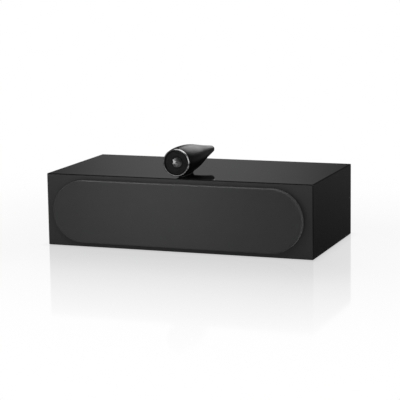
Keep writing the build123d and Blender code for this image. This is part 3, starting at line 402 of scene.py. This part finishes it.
# %% Grain
grain_group, start, end = new_group(
    "grain", {"Vector": "Vector", "Scale": "Float", "Stretch": "Vector"}, {"Mottle": "Float", "Fine": "Float"}
)
stretched = add(grain_group, "VectorMath", operation="MULTIPLY")
grain_group.links.new(start.outputs["Vector"], stretched.inputs[0])
grain_group.links.new(start.outputs["Stretch"], stretched.inputs[1])
for socket, finer, detail in (("Mottle", 0.12, 3.0), ("Fine", 1.0, 2.0)):
    noise = add(grain_group, "TexNoise", {"Detail": detail, "Roughness": 0.55})
    grain_group.links.new(stretched.outputs[0], noise.inputs["Vector"])
    grain_group.links.new(math_node(grain_group, "MULTIPLY", start.outputs["Scale"], finer), noise.inputs["Scale"])
    grain_group.links.new(noise.outputs["Fac"], end.inputs[socket])
print("group", grain_group.name)

# %% Weave
weave_group, start, end = new_group(
    "weave", {"Vector": "Vector", "Yarns": "Float"}, {"Height": "Float", "Warp": "Float"}
)
scaled = add(weave_group, "VectorMath", operation="SCALE")
weave_group.links.new(start.outputs["Vector"], scaled.inputs[0])
weave_group.links.new(start.outputs["Yarns"], scaled.inputs["Scale"])
across = add(weave_group, "SeparateXYZ")
weave_group.links.new(scaled.outputs[0], across.inputs[0])


def yarn_crown(tree, coordinate):
    """Round top of one yarn: the sine of half a turn over the yarn's width."""
    return math_node(tree, "SINE", math_node(tree, "MULTIPLY", math_node(tree, "FRACT", coordinate), math.pi))


crown_u = yarn_crown(weave_group, across.outputs["X"])
crown_v = yarn_crown(weave_group, across.outputs["Y"])
cells = math_node(
    weave_group,
    "ADD",
    math_node(weave_group, "FLOOR", across.outputs["X"]),
    math_node(weave_group, "FLOOR", across.outputs["Y"]),
)
warp_over = math_node(weave_group, "FLOORED_MODULO", cells, 2.0)


def laid_yarn(tree, crown, other):
    """Height of the yarn on top: its own crown, lower towards the ends where it dips under."""
    return math_node(tree, "MULTIPLY", crown, math_node(tree, "MULTIPLY_ADD", other, 0.5))


def over_and_under(tree, mask, first, second):
    """First where the mask is one, second where it is nought."""
    chosen = math_node(tree, "MULTIPLY", mask, first)
    rest = math_node(tree, "MULTIPLY", math_node(tree, "SUBTRACT", 1.0, mask), second)
    return math_node(tree, "ADD", chosen, rest)


height = over_and_under(
    weave_group, warp_over, laid_yarn(weave_group, crown_u, crown_v), laid_yarn(weave_group, crown_v, crown_u)
)
weave_group.links.new(height, end.inputs["Height"])
weave_group.links.new(warp_over, end.inputs["Warp"])
print("group", weave_group.name)

# %% Turning marks
turning_group, start, end = new_group("turning_marks", {"Centre": "Vector", "Lines": "Float"}, {"Rings": "Float"})
offset = add(turning_group, "VectorMath", operation="SUBTRACT")
turning_group.links.new(add(turning_group, "TexCoord").outputs["Object"], offset.inputs[0])
turning_group.links.new(start.outputs["Centre"], offset.inputs[1])
flat = add(turning_group, "VectorMath", operation="MULTIPLY")
turning_group.links.new(offset.outputs[0], flat.inputs[0])
flat.inputs[1].default_value = (1.0, 0.0, 1.0)
radius = add(turning_group, "VectorMath", operation="LENGTH")
turning_group.links.new(flat.outputs[0], radius.inputs[0])
rings = add(turning_group, "TexNoise", {"Detail": 1.0}, noise_dimensions="1D")
turning_group.links.new(
    math_node(turning_group, "MULTIPLY", radius.outputs["Value"], start.outputs["Lines"]), rings.inputs["W"]
)
turning_group.links.new(rings.outputs["Fac"], end.inputs["Rings"])
print("group", turning_group.name)

# %% [markdown]
# ## Plain finishes
# Most pieces are moulded, cast, plated or painted. Each such finish is a base colour that wanders a little with
# the grain, a roughness that wanders with it, and a fine bump. Only the numbers differ, so they are a table.

# %% Plain finishes
FULL_STRETCH = (1.0, 1.0, 1.0)


def wander(tree, factor, low, high):
    """Map a noise value to a range, as a socket."""
    node = add(tree, "MapRange", {"From Min": 0.3, "From Max": 0.7, "To Min": low, "To Max": high})
    tree.links.new(factor, node.inputs["Value"])
    return node.outputs["Result"]


def tint(tree, factor, colour, change):
    """Colour made lighter and darker by a share as the factor wanders; returns the colour socket."""
    node = add(tree, "Mix", data_type="RGBA")
    node.inputs[6].default_value = (*[c * (1 - change) for c in colour], 1.0)
    node.inputs[7].default_value = (*[min(1.0, c * (1 + change)) for c in colour], 1.0)
    tree.links.new(wander(tree, factor, 0.0, 1.0), node.inputs["Factor"])
    return node.outputs[2]


def bump(tree, shader, height, strength, depth):
    """Bump of a depth in metres on a shader."""
    node = add(tree, "Bump", {"Strength": strength, "Distance": depth})
    tree.links.new(height, node.inputs["Height"])
    tree.links.new(node.outputs["Normal"], shader.inputs["Normal"])
    return node


def grained(name, colour, change, rough, grain, depth, stretch=FULL_STRETCH, **sockets):
    """Finish whose colour, roughness and surface all follow the shared grain."""
    material, tree, shader = new_material(name, **sockets)
    noise = use_group(tree, grain_group, Scale=grain, Stretch=stretch)
    tree.links.new(add(tree, "TexCoord").outputs["Object"], noise.inputs["Vector"])
    tree.links.new(tint(tree, noise.outputs["Mottle"], colour, change), shader.inputs["Base Color"])
    tree.links.new(wander(tree, noise.outputs["Mottle"], *rough), shader.inputs["Roughness"])
    bump(tree, shader, noise.outputs["Fine"], 0.5, depth)
    return material


PLAIN_FINISHES = {
    "bare_board": dict(colour=(0.42, 0.30, 0.19), change=0.25, rough=(0.8, 0.95), grain=1200, depth=0.0002),
    "frame_plastic": dict(colour=(0.02, 0.02, 0.02), change=0.2, rough=(0.55, 0.7), grain=2500, depth=0.00004),
    "plated_magnet": dict(
        colour=(0.62, 0.62, 0.64), change=0.08, rough=(0.15, 0.3), grain=900, depth=0.00001, Metallic=1.0
    ),
    "cast_alloy": dict(colour=(0.05, 0.05, 0.055), change=0.2, rough=(0.4, 0.6), grain=1500, depth=0.00008),
    "bass_cone_paper": dict(
        colour=(0.05, 0.05, 0.052), change=0.3, rough=(0.5, 0.75), grain=700, depth=0.0001, stretch=(1.0, 1.0, 3.0)
    ),
    "surround_rubber": dict(colour=(0.02, 0.02, 0.02), change=0.25, rough=(0.5, 0.65), grain=1800, depth=0.00003),
    "plated_steel": dict(
        colour=(0.55, 0.55, 0.54), change=0.1, rough=(0.25, 0.45), grain=800, depth=0.00001, Metallic=1.0
    ),
    "ferrite": dict(colour=(0.06, 0.06, 0.062), change=0.35, rough=(0.6, 0.85), grain=1400, depth=0.0001),
    "faceplate_steel": dict(colour=(0.03, 0.03, 0.031), change=0.15, rough=(0.35, 0.5), grain=2200, depth=0.00003),
    "soft_seal": dict(colour=(0.02, 0.02, 0.02), change=0.25, rough=(0.75, 0.9), grain=2400, depth=0.0001),
    "black_steel": dict(colour=(0.03, 0.03, 0.03), change=0.2, rough=(0.3, 0.45), grain=1600, depth=0.00002),
    "moulded_plastic": dict(colour=(0.022, 0.022, 0.023), change=0.2, rough=(0.4, 0.55), grain=2800, depth=0.00005),
    "black_cap": dict(colour=(0.02, 0.02, 0.02), change=0.2, rough=(0.15, 0.25), grain=1500, depth=0.00001),
    "red_cap": dict(colour=(0.55, 0.02, 0.02), change=0.12, rough=(0.15, 0.25), grain=1500, depth=0.00001),
    "film_can": dict(colour=(0.55, 0.42, 0.08), change=0.12, rough=(0.3, 0.45), grain=900, depth=0.00003),
    "lead_rubber": dict(colour=(0.03, 0.03, 0.03), change=0.2, rough=(0.45, 0.6), grain=1800, depth=0.00003),
    "plated_brass": dict(
        colour=(0.80, 0.62, 0.30), change=0.06, rough=(0.12, 0.25), grain=900, depth=0.00001, Metallic=1.0
    ),
    "mesh_steel": dict(
        colour=(0.003, 0.003, 0.003), change=0.2, rough=(0.5, 0.6), grain=2000, depth=0.00002, Specular_IOR_Level=0.15
    ),
    "circuit_board": dict(colour=(0.05, 0.20, 0.08), change=0.2, rough=(0.35, 0.5), grain=600, depth=0.00003),
}
materials = {name: grained(name, **values) for name, values in PLAIN_FINISHES.items()}
print(len(materials), "plain finishes")

# %% [markdown]
# ## Black lacquer
# The cabinet is sprayed with many coats of black and polished. The colour is almost nothing; the look is the
# mirror on top of it, with the faint waviness that spraying leaves, often called orange peel. The pod's casting has
# a duller black. The front is rubbed down to satin, so that it does not mirror the side of the grille, and only its
# rounded edges keep the full gloss. The edges are where the solid lies behind the plane of its front.

# %% Lacquer
LACQUER_BLACK = (0.0035, 0.0035, 0.0038)
FRONT_BLACK = (0.018, 0.018, 0.018)
POD_BLACK = (0.001, 0.001, 0.001)
EDGE_START = 0.03 * MM
EDGE_ROUGHNESS = 0.04
MIX_SOCKETS = {"RGBA": (6, 7, 2), "FLOAT": (2, 3, 0)}


def lacquer(name, colour, rough, peel, depth):
    """Polished lacquer: near black, a clear mirror and two sizes of faint waviness."""
    material, tree, shader = new_material(name, IOR=1.5)
    noise = use_group(tree, grain_group, Scale=peel, Stretch=FULL_STRETCH)
    tree.links.new(add(tree, "TexCoord").outputs["Object"], noise.inputs["Vector"])
    tree.links.new(tint(tree, noise.outputs["Mottle"], colour, 0.05), shader.inputs["Base Color"])
    tree.links.new(wander(tree, noise.outputs["Mottle"], *rough), shader.inputs["Roughness"])
    bump(tree, shader, noise.outputs["Fine"], 0.25, depth)
    return material


def gloss_behind(material, depth, colour, rough):
    """Give a lacquer another colour and roughness where it lies behind a depth along Y."""
    tree = material.node_tree
    shader = tree.nodes["Principled BSDF"]
    axes = add(tree, "SeparateXYZ")
    tree.links.new(add(tree, "TexCoord").outputs["Object"], axes.inputs[0])
    behind = math_node(tree, "GREATER_THAN", axes.outputs["Y"], depth)
    for socket, kind, value in (("Base Color", "RGBA", (*colour, 1.0)), ("Roughness", "FLOAT", rough)):
        first, second, out = MIX_SOCKETS[kind]
        chosen = add(tree, "Mix", {second: value}, data_type=kind)
        tree.links.new(behind, chosen.inputs[0])
        tree.links.new(shader.inputs[socket].links[0].from_socket, chosen.inputs[first])
        tree.links.new(chosen.outputs[out], shader.inputs[socket])


materials["black_lacquer"] = lacquer("black_lacquer", LACQUER_BLACK, (0.02, 0.05), 180.0, 0.00002)
materials["front_lacquer"] = lacquer("front_lacquer", FRONT_BLACK, (0.38, 0.44), 300.0, 0.00002)
materials["pod_alloy"] = lacquer("pod_alloy", POD_BLACK, (0.3, 0.34), 400.0, 0.00002)
front_low, front_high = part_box("front_baffle")
gloss_behind(materials["front_lacquer"], front_low.y + EDGE_START, LACQUER_BLACK, EDGE_ROUGHNESS)
print("lacquer on cabinet, front and pod")

# %% [markdown]
# ## Turned metal
# The bright ring, the plug and the dome are turned or drawn, so their marks run round the axis. The ring noise
# drives both the roughness and a very small bump.

# %% Turned metal
ring_low, ring_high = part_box("tweeter_ring")
POD_AXIS = tuple((ring_low + ring_high) / 2)


def turned_metal(name, colour, rough, centre, lines):
    """Bare metal with fine rings round an axis along Y."""
    material, tree, shader = new_material(name, Metallic=1.0)
    marks = use_group(tree, turning_group, Centre=centre, Lines=lines)
    tree.links.new(tint(tree, marks.outputs["Rings"], colour, 0.06), shader.inputs["Base Color"])
    tree.links.new(wander(tree, marks.outputs["Rings"], *rough), shader.inputs["Roughness"])
    bump(tree, shader, marks.outputs["Rings"], 0.3, 0.00001)
    return material


midrange_low, midrange_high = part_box("midrange_phase_plug")
materials["bright_ring"] = turned_metal("bright_ring", (0.80, 0.80, 0.81), (0.12, 0.2), POD_AXIS, 9000.0)
materials["dome_alloy"] = turned_metal("dome_alloy", (0.62, 0.62, 0.63), (0.42, 0.5), POD_AXIS, 6000.0)
materials["plug_alloy"] = turned_metal(
    "plug_alloy", (0.50, 0.50, 0.51), (0.25, 0.35), tuple((midrange_low + midrange_high) / 2), 5000.0
)
print("turned metals", POD_AXIS)

# %% [markdown]
# ## Woven finishes
# The grille cloth, the midrange cone and the spiders are all woven. The yarn height drives the bump and a painted
# shade, darker in the gaps between yarns and a little lighter on their crowns, and the warp and weft differ slightly
# in shade. The grille cloth reads its own UV map, laid out in metres on the flat cut.

# %% Woven finishes


def woven(name, warp, weft, yarns, depth, rough, from_uv=False, **sockets):
    """Plain weave: warp or weft tone by which yarn lies on top, painted shade in the gaps, with the yarns' own
    relief.
    """
    material, tree, shader = new_material(name, Roughness=rough, **sockets)
    place = add(tree, "TexCoord")
    if from_uv:
        laid = place.outputs["UV"]
    else:
        turned = add(tree, "VectorRotate", {"Angle": math.pi / 2}, rotation_type="X_AXIS")
        tree.links.new(place.outputs["Object"], turned.inputs["Vector"])
        laid = turned.outputs["Vector"]
    weave = use_group(tree, weave_group, Yarns=yarns)
    tree.links.new(laid, weave.inputs["Vector"])
    noise = use_group(tree, grain_group, Scale=160.0, Stretch=FULL_STRETCH)
    tree.links.new(laid, noise.inputs["Vector"])
    shade = add(tree, "Mix", data_type="RGBA")
    shade.inputs[6].default_value = (*weft, 1.0)
    shade.inputs[7].default_value = (*warp, 1.0)
    tree.links.new(weave.outputs["Warp"], shade.inputs["Factor"])
    # Painted shade: the colour is darkened where the yarns dip into the gaps and lightened a little on their crowns.
    painted_gap_shade = add(tree, "Mix", data_type="RGBA", blend_type="MULTIPLY")
    painted_gap_shade.inputs["Factor"].default_value = 1.0
    tree.links.new(shade.outputs[2], painted_gap_shade.inputs[6])
    wear = wander(tree, noise.outputs["Mottle"], 0.98, 1.02)
    depth_shade = math_node(tree, "MULTIPLY", wear, wander(tree, weave.outputs["Height"], 0.8, 1.1))
    tree.links.new(depth_shade, painted_gap_shade.inputs[7])
    tree.links.new(painted_gap_shade.outputs[2], shader.inputs["Base Color"])
    bump(tree, shader, weave.outputs["Height"], 0.6, depth)
    return material


materials["grille_cloth"] = woven(
    "grille_cloth", (0.044, 0.044, 0.045), (0.038, 0.038, 0.039), 1100.0, 0.0003, 0.9, from_uv=True,
    Sheen_Weight=0.2, Sheen_Roughness=0.4, Specular_IOR_Level=0.2,
)
materials["woven_cone"] = woven("woven_cone", (0.62, 0.62, 0.60), (0.50, 0.50, 0.49), 700.0, 0.0002, 0.45)
materials["spider_cloth"] = woven("spider_cloth", (0.58, 0.40, 0.14), (0.48, 0.33, 0.11), 900.0, 0.0002, 0.85)
print("woven finishes")

# %% [markdown]
# ## Copper windings
# A coil is hundreds of turns of enamelled wire side by side. Bands along the coil's axis give the turns: along Y
# on the voice coils, and along Z on the coils that stand on the crossover board. Each band carries a bump and
# painted shade, darker between the turns and lighter on their crowns.

# %% Copper
COPPER = (0.72, 0.35, 0.16)


def winding(name, axis, turns_per_metre):
    """Enamelled copper with one rounded band for each turn of wire along an axis, painted shade between the turns."""
    material, tree, shader = new_material(name, Metallic=1.0, Roughness=0.3)
    place = add(tree, "SeparateXYZ")
    tree.links.new(add(tree, "TexCoord").outputs["Object"], place.inputs[0])
    turns = math_node(tree, "MULTIPLY", place.outputs[axis], turns_per_metre)
    crown = yarn_crown(tree, turns)
    # Painted shade: each turn's colour is darker where it dips between wires and lighter on its crown.
    tree.links.new(tint(tree, crown, COPPER, 0.25), shader.inputs["Base Color"])
    bump(tree, shader, crown, 0.8, 0.3 / turns_per_metre)
    return material


materials["copper_coil"] = winding("copper_coil", "Y", 3500.0)
materials["crossover_copper"] = winding("crossover_copper", "Z", 900.0)
print("copper windings")

# %% [markdown]
# ## Dress the solids
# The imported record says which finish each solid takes, so one loop dresses all of them. The crossover's coils
# stand upright, so they take the winding whose turns lie the other way, and the front takes the satin lacquer.

# %% Dress the solids
OWN_FINISH = {"crossover_coils": "crossover_copper", "front_baffle": "front_lacquer"}
for part in frame["record"]["subparts"]:
    solid = nodes[part["node"]]
    finish = materials[OWN_FINISH.get(part["node"], part["material_slot"])]
    solid.data.materials.clear()
    solid.data.materials.append(finish)

# %% [markdown]
# ## Surfaces from numpy
# A new piece is a grid of points worked out as one array, then handed to Blender as quads. Points that fall on
# each other, as at a pole or along a seam, are merged afterwards.

# %% Grid to mesh


def skin(name, points):
    """Mesh of quads over grids of points (copies, rows, columns, 3); each last column joins up with the first."""
    rows, columns = points.shape[-3:-1]
    index = np.arange(points.size // 3).reshape(-1, rows, columns)
    index = np.concatenate([index, index[:, :, :1]], axis=2)
    quads = np.stack([index[:, :-1, :-1], index[:, :-1, 1:], index[:, 1:, 1:], index[:, 1:, :-1]], axis=-1)
    mesh = bpy.data.meshes.new(name)
    mesh.from_pydata(points.reshape(-1, 3).tolist(), [], quads.reshape(-1, 4).tolist())
    return mesh


def merge(mesh, within):
    """Join points that fall on each other, which also removes faces that shrank to nothing."""
    shape = bmesh.new()
    shape.from_mesh(mesh)
    bmesh.ops.remove_doubles(shape, verts=shape.verts, dist=within)
    bmesh.ops.dissolve_degenerate(shape, edges=shape.edges, dist=within)
    bmesh.ops.recalc_face_normals(shape, faces=shape.faces)
    shape.to_mesh(mesh)
    shape.free()


def piece(name, mesh, finish, body="root"):
    """Put a finished mesh in the scene at the origin, smooth, with its finish, riding on a body."""
    thing = bpy.data.objects.new(name, mesh)
    bpy.context.scene.collection.objects.link(thing)
    mesh.polygons.foreach_set("use_smooth", np.ones(len(mesh.polygons), bool))
    mesh.materials.append(materials[finish])
    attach(thing, body)
    return thing


# %% [markdown]
# ## The grille cloth
# On the real grille one piece of cloth is stretched over an obround frame and glued behind it. A cloth simulation
# would only find what stretching already gives: a flat face, a tight round edge and straight sides. So the cloth
# is a profile carried round the obround outline: up the side, over the edge and in to the middle line.

# %% Cloth
CLOTH_EDGE = 3.0 * MM
CLOTH_THICKNESS = 0.7 * MM
CLOTH_SAG = 0.5 * MM
SIDE_STEPS = 140
END_STEPS = 72
EDGE_STEPS = 7
FACE_STEPS = 16

cloth_low, cloth_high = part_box("grille_cloth")
cloth_radius = (cloth_high.z - cloth_low.z) / 2
cloth_half_straight = (cloth_high.x - cloth_low.x) / 2 - cloth_radius
cloth_middle_z = (cloth_high.z + cloth_low.z) / 2


def obround_outline(half_straight):
    """Middle-line places and outward angles along the outline: a side, an end, the other side, the other end."""
    side = np.linspace(half_straight, -half_straight, SIDE_STEPS, endpoint=False)
    turn_half = np.linspace(0.0, np.pi, END_STEPS, endpoint=False)
    middle = np.concatenate([side, np.full(END_STEPS, -half_straight), -side, np.full(END_STEPS, half_straight)])
    up, down = np.pi / 2, 1.5 * np.pi
    angle = np.concatenate([np.full(SIDE_STEPS, up), up + turn_half, np.full(SIDE_STEPS, down), down + turn_half])
    return middle, angle


def cloth_profile(radius, back, front):
    """Reach from the middle line, depth and distance along the cloth: wall, quarter round, flat to the middle."""
    quarter = np.linspace(0.0, np.pi / 2, EDGE_STEPS)
    face = (radius - CLOTH_EDGE) * (1 - np.linspace(0.0, 1.0, FACE_STEPS)[1:] ** 1.3)
    reach = np.concatenate([[radius], radius - CLOTH_EDGE * (1 - np.cos(quarter)), face])
    depth = np.concatenate([[back], front + CLOTH_EDGE * (1 - np.sin(quarter)), np.full(FACE_STEPS - 1, front)])
    depth += CLOTH_SAG * np.clip(1 - (reach / (radius - CLOTH_EDGE)) ** 2, 0.0, 1.0)
    steps = np.hypot(np.diff(reach), np.diff(depth))
    along = np.concatenate([np.cumsum(steps[::-1])[::-1], [0.0]])
    return reach, depth, along


middle, angle = obround_outline(cloth_half_straight)
reach, depth, along = cloth_profile(cloth_radius, cloth_high.y, cloth_low.y)
out_x, out_z = np.cos(angle), np.sin(angle)
cloth_points = np.stack(
    [
        middle + reach[:, None] * out_x,
        np.broadcast_to(depth[:, None], (len(reach), len(angle))),
        cloth_middle_z + reach[:, None] * out_z,
    ],
    axis=-1,
)
cloth_flat = np.stack([middle + along[:, None] * out_x, along[:, None] * out_z], axis=-1)
cloth_mesh = skin("grille_cloth_stretched", cloth_points)
corner_points = np.zeros(len(cloth_mesh.loops), np.int32)
cloth_mesh.loops.foreach_get("vertex_index", corner_points)
flat_map = cloth_mesh.uv_layers.new(name="flat_cut")
flat_map.data.foreach_set("uv", cloth_flat.reshape(-1, 2)[corner_points].astype(np.float32).ravel())
merge(cloth_mesh, 0.01 * MM)
cloth = piece("grille_cloth_stretched", cloth_mesh, "grille_cloth")
thickness = cloth.modifiers.new("thickness", "SOLIDIFY")
thickness.thickness = CLOTH_THICKNESS
thickness.offset = -1.0
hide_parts("grille_cloth")

# %% [markdown]
# ## The tweeter guard
# A thin steel cap full of small holes keeps fingers off the dome. The solid in the frame has coarse holes, so
# this piece stands for it with the fine honeycomb of the real one. Each hole is a six-sided cell: a ring of six
# quads between the cell's own outline and a smaller copy of it. The whole sheet is then pressed into a dome.

# %% Guard
GUARD_PITCH = 1.55 * MM
GUARD_BAR = 0.30 * MM
GUARD_SHEET = 0.4 * MM
GUARD_RIM = 2.5 * MM

guard_low, guard_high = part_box("tweeter_mesh")
guard_radius = (guard_high.x - guard_low.x) / 2
cap_radius = guard_radius - GUARD_RIM
guard_seat = guard_high.y - GUARD_SHEET
guard_rise = guard_seat - guard_low.y
guard_x, guard_z = (guard_high.x + guard_low.x) / 2, (guard_high.z + guard_low.z) / 2


def dome_depth(distance):
    """Depth of the cap at a distance from its axis: a sphere through the crown and the rim."""
    sphere = (cap_radius**2 + guard_rise**2) / (2 * guard_rise)
    inside = np.sqrt(sphere**2 - np.minimum(distance, cap_radius) ** 2)
    return guard_seat - (inside - sphere + guard_rise)


def honeycomb_centres(limit):
    """Centres of six-sided cells in offset rows, kept within a distance of the axis."""
    count = int(limit / GUARD_PITCH) + 2
    row, column = np.meshgrid(np.arange(-count, count + 1), np.arange(-2 * count, 2 * count + 1), indexing="ij")
    x = (column + 0.5 * (row % 2)) * GUARD_PITCH
    z = row * GUARD_PITCH * math.sqrt(3) / 2
    centres = np.stack([x.ravel(), z.ravel()], axis=-1)
    return centres[np.hypot(centres[:, 0], centres[:, 1]) < limit]


def honeycomb(centres):
    """Outer and inner corners of every cell, and six quads for each."""
    corner = np.pi / 6 + np.arange(6) * np.pi / 3
    spoke = np.stack([np.cos(corner), np.sin(corner)], axis=-1)
    outer_reach = GUARD_PITCH / math.sqrt(3)
    inner_reach = outer_reach - GUARD_BAR / math.sqrt(3)
    cells = np.concatenate(
        [centres[:, None] + outer_reach * spoke, centres[:, None] + inner_reach * spoke], axis=1
    )
    ring = np.arange(6)
    following = (ring + 1) % 6
    cell_quads = np.stack([ring, following, following + 6, ring + 6], axis=-1)
    quads = cell_quads + 12 * np.arange(len(centres))[:, None, None]
    return cells.reshape(-1, 2), quads.reshape(-1, 4)


flat_points, guard_quads = honeycomb(honeycomb_centres(cap_radius + GUARD_PITCH / 3))
guard_points = np.stack(
    [guard_x + flat_points[:, 0], dome_depth(np.hypot(*flat_points.T)), guard_z + flat_points[:, 1]], axis=-1
)
guard_mesh = bpy.data.meshes.new("tweeter_guard")
guard_mesh.from_pydata(guard_points.tolist(), [], guard_quads.tolist())
merge(guard_mesh, 0.02 * MM)
guard = piece("tweeter_guard", guard_mesh, "mesh_steel")
sheet = guard.modifiers.new("sheet", "SOLIDIFY")
sheet.thickness = GUARD_SHEET
sheet.offset = 0.0
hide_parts("tweeter_mesh")
print("guard", len(guard_quads) // 6, "holes")

# %% Guard rim
RIM_STEPS = 96
RIM_LAP = 0.4 * MM
RIM_FRONT, RIM_BACK = -0.25 * MM, 0.35 * MM
around = np.linspace(0.0, 2 * np.pi, RIM_STEPS, endpoint=False)
rim_inside = cap_radius - RIM_LAP
rim_reach = np.array([rim_inside, guard_radius, guard_radius, rim_inside, rim_inside])
rim_depth = guard_seat + np.array([RIM_FRONT, RIM_FRONT, RIM_BACK, RIM_BACK, RIM_FRONT])
rim_points = np.stack(
    [
        guard_x + rim_reach[:, None] * np.cos(around),
        np.broadcast_to(rim_depth[:, None], (len(rim_reach), RIM_STEPS)),
        guard_z + rim_reach[:, None] * np.sin(around),
    ],
    axis=-1,
)
rim_mesh = skin("tweeter_guard_rim", rim_points)
merge(rim_mesh, 0.01 * MM)
rim = piece("tweeter_guard_rim", rim_mesh, "mesh_steel")
rim.modifiers.new("edges", "EDGE_SPLIT")
print("guard rim", RIM_STEPS, "steps")

# %% [markdown]
# ## The screws
# Each unit is held by six countersunk screws and the terminal tray by four. A head is pressed from wire and its
# cross recess is punched in. The screw is a profile turned about its axis, and the recess is a height on the
# head's face: deep within half an arm's width of either middle line. The shank is hidden in the wood, so it stays
# plain. The frame's own screws show where each one sits and which way it points.

# %% Screws
HEAD_RADIUS, SHANK_RADIUS, HEAD_DEPTH, SCREW_LENGTH = 3.6 * MM, 1.9 * MM, 2.0 * MM, 18.0 * MM
HEAD_EDGE, POINT_LENGTH, POINT_RADIUS = 0.1 * MM, 2.0 * MM, 0.4 * MM
RECESS_DEPTH, RECESS_REACH, ARM_HALF, ARM_SLOPE = 1.1 * MM, 2.1 * MM, 0.5 * MM, 0.25 * MM
SCREW_STEPS = 48
FACE_RINGS = 14
SCREW_SPAN = 22.0 * MM


def screw_seats(solid):
    """Head centre of each screw and its direction along Y: points near one point belong to one screw."""
    count = len(solid.data.vertices)
    points = np.zeros(3 * count, np.float32)
    solid.data.vertices.foreach_get("co", points)
    points = points.reshape(count, 3)
    seats = []
    while len(points):
        near = np.linalg.norm(points - points[0], axis=1) < SCREW_SPAN
        low, high = points[near].min(axis=0), points[near].max(axis=0)
        middle = (low + high) / 2
        wide = points[near][np.argmax(np.hypot(*(points[near] - middle)[:, [0, 2]].T))]
        inwards = 1.0 if wide[1] < middle[1] else -1.0
        seats.append((middle[0], low[1] if inwards > 0 else high[1], middle[2], inwards))
        points = points[~near]
    return np.array(seats)


def screw_form():
    """Points of one screw, its axis along +Y from the head's face: face with recess, cone, shank and point."""
    turn_steps = np.linspace(0.0, 2 * np.pi, SCREW_STEPS, endpoint=False)
    face = np.linspace(0.0, HEAD_RADIUS - HEAD_EDGE, FACE_RINGS)
    shank_end = SCREW_LENGTH - POINT_LENGTH
    reach = np.concatenate([face, [HEAD_RADIUS, SHANK_RADIUS, SHANK_RADIUS, POINT_RADIUS, 0.0]])[:, None]
    depth = np.concatenate([0.0 * face, [HEAD_EDGE, HEAD_DEPTH, shank_end, SCREW_LENGTH, SCREW_LENGTH]])[:, None]
    x, z = reach * np.cos(turn_steps), reach * np.sin(turn_steps)
    in_arm = np.clip((ARM_HALF - np.minimum(np.abs(x), np.abs(z))) / ARM_SLOPE + 0.5, 0.0, 1.0)
    in_reach = np.clip((RECESS_REACH - reach) / ARM_SLOPE, 0.0, 1.0) * (depth == 0.0)
    return np.stack([x, depth + RECESS_DEPTH * in_arm * in_reach, z], axis=-1)


seats = screw_seats(nodes["screws"])
flips = np.stack([np.ones(len(seats)), seats[:, 3], np.ones(len(seats))], axis=-1)
screw_points = screw_form() * flips[:, None, None] + seats[:, None, None, :3]
screw_mesh = skin("cross_head_screws", screw_points)
merge(screw_mesh, 0.001 * MM)
screw_set = piece("cross_head_screws", screw_mesh, "black_steel")
screw_set.modifiers.new("edges", "EDGE_SPLIT")
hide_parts("screws")
print(len(seats), "screws,", len(screw_mesh.polygons), "faces")

# %% [markdown]
# ## The terminal posts
# A post is turned from brass, threaded and plated. Its cap runs on the thread, so the thread is cut here as a
# helix: at each angle the profile along the post is the same row of ridges, moved on by that share of a pitch.

# %% Posts
POST_RADIUS, FLANGE_RADIUS, FLANGE, POST_LENGTH = 4.0 * MM, 8.0 * MM, 4.0 * MM, 24.0 * MM
THREAD_PITCH, THREAD_DEPTH = 1.5 * MM, 0.5 * MM
THREAD_START, THREAD_END, CHAMFER = 0.5 * MM, 0.6 * MM, 0.5 * MM
POST_STEPS = 40
THREAD_ROWS = 108

post_low, post_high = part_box("terminal_posts")
post_z = (post_low.z + post_high.z) / 2
post_columns = np.array([post_low.x + FLANGE_RADIUS, post_high.x - FLANGE_RADIUS])


def threaded_post(tail, end):
    """Points of one post along Y: plain tail, round flange, then a ridge that climbs one pitch in each turn."""
    turn_steps = np.linspace(0.0, 2 * np.pi, POST_STEPS, endpoint=False)
    seat = end - POST_LENGTH
    along = np.linspace(seat + FLANGE + THREAD_START, end - THREAD_END, THREAD_ROWS)
    phase = (along[:, None] / THREAD_PITCH - turn_steps / (2 * np.pi)) % 1.0
    ridge = POST_RADIUS - THREAD_DEPTH * np.abs(2 * phase - 1)
    plain_reach = np.array([0.0, POST_RADIUS, POST_RADIUS, FLANGE_RADIUS, FLANGE_RADIUS, POST_RADIUS - THREAD_DEPTH])
    plain_along = np.array([tail, tail, seat, seat, seat + FLANGE, seat + FLANGE])
    end_reach = np.array([POST_RADIUS - THREAD_DEPTH, POST_RADIUS - 2 * THREAD_DEPTH, 0.0])
    end_along = np.array([end - CHAMFER, end, end])
    level = np.ones((1, POST_STEPS))
    reach = np.concatenate([plain_reach[:, None] * level, ridge, end_reach[:, None] * level])
    depth = np.concatenate([plain_along, along, end_along])[:, None] * level
    return np.stack([reach * np.cos(turn_steps), depth, reach * np.sin(turn_steps)], axis=-1)


post_places = np.stack([post_columns, np.zeros(2), np.full(2, post_z)], axis=-1)
post_points = threaded_post(post_low.y, post_high.y) + post_places[:, None, None]
post_mesh = skin("threaded_posts", post_points)
merge(post_mesh, 0.001 * MM)
posts = piece("threaded_posts", post_mesh, "plated_brass")
posts.modifiers.new("edges", "EDGE_SPLIT")
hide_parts("terminal_posts")
print("posts", len(post_mesh.polygons), "faces")
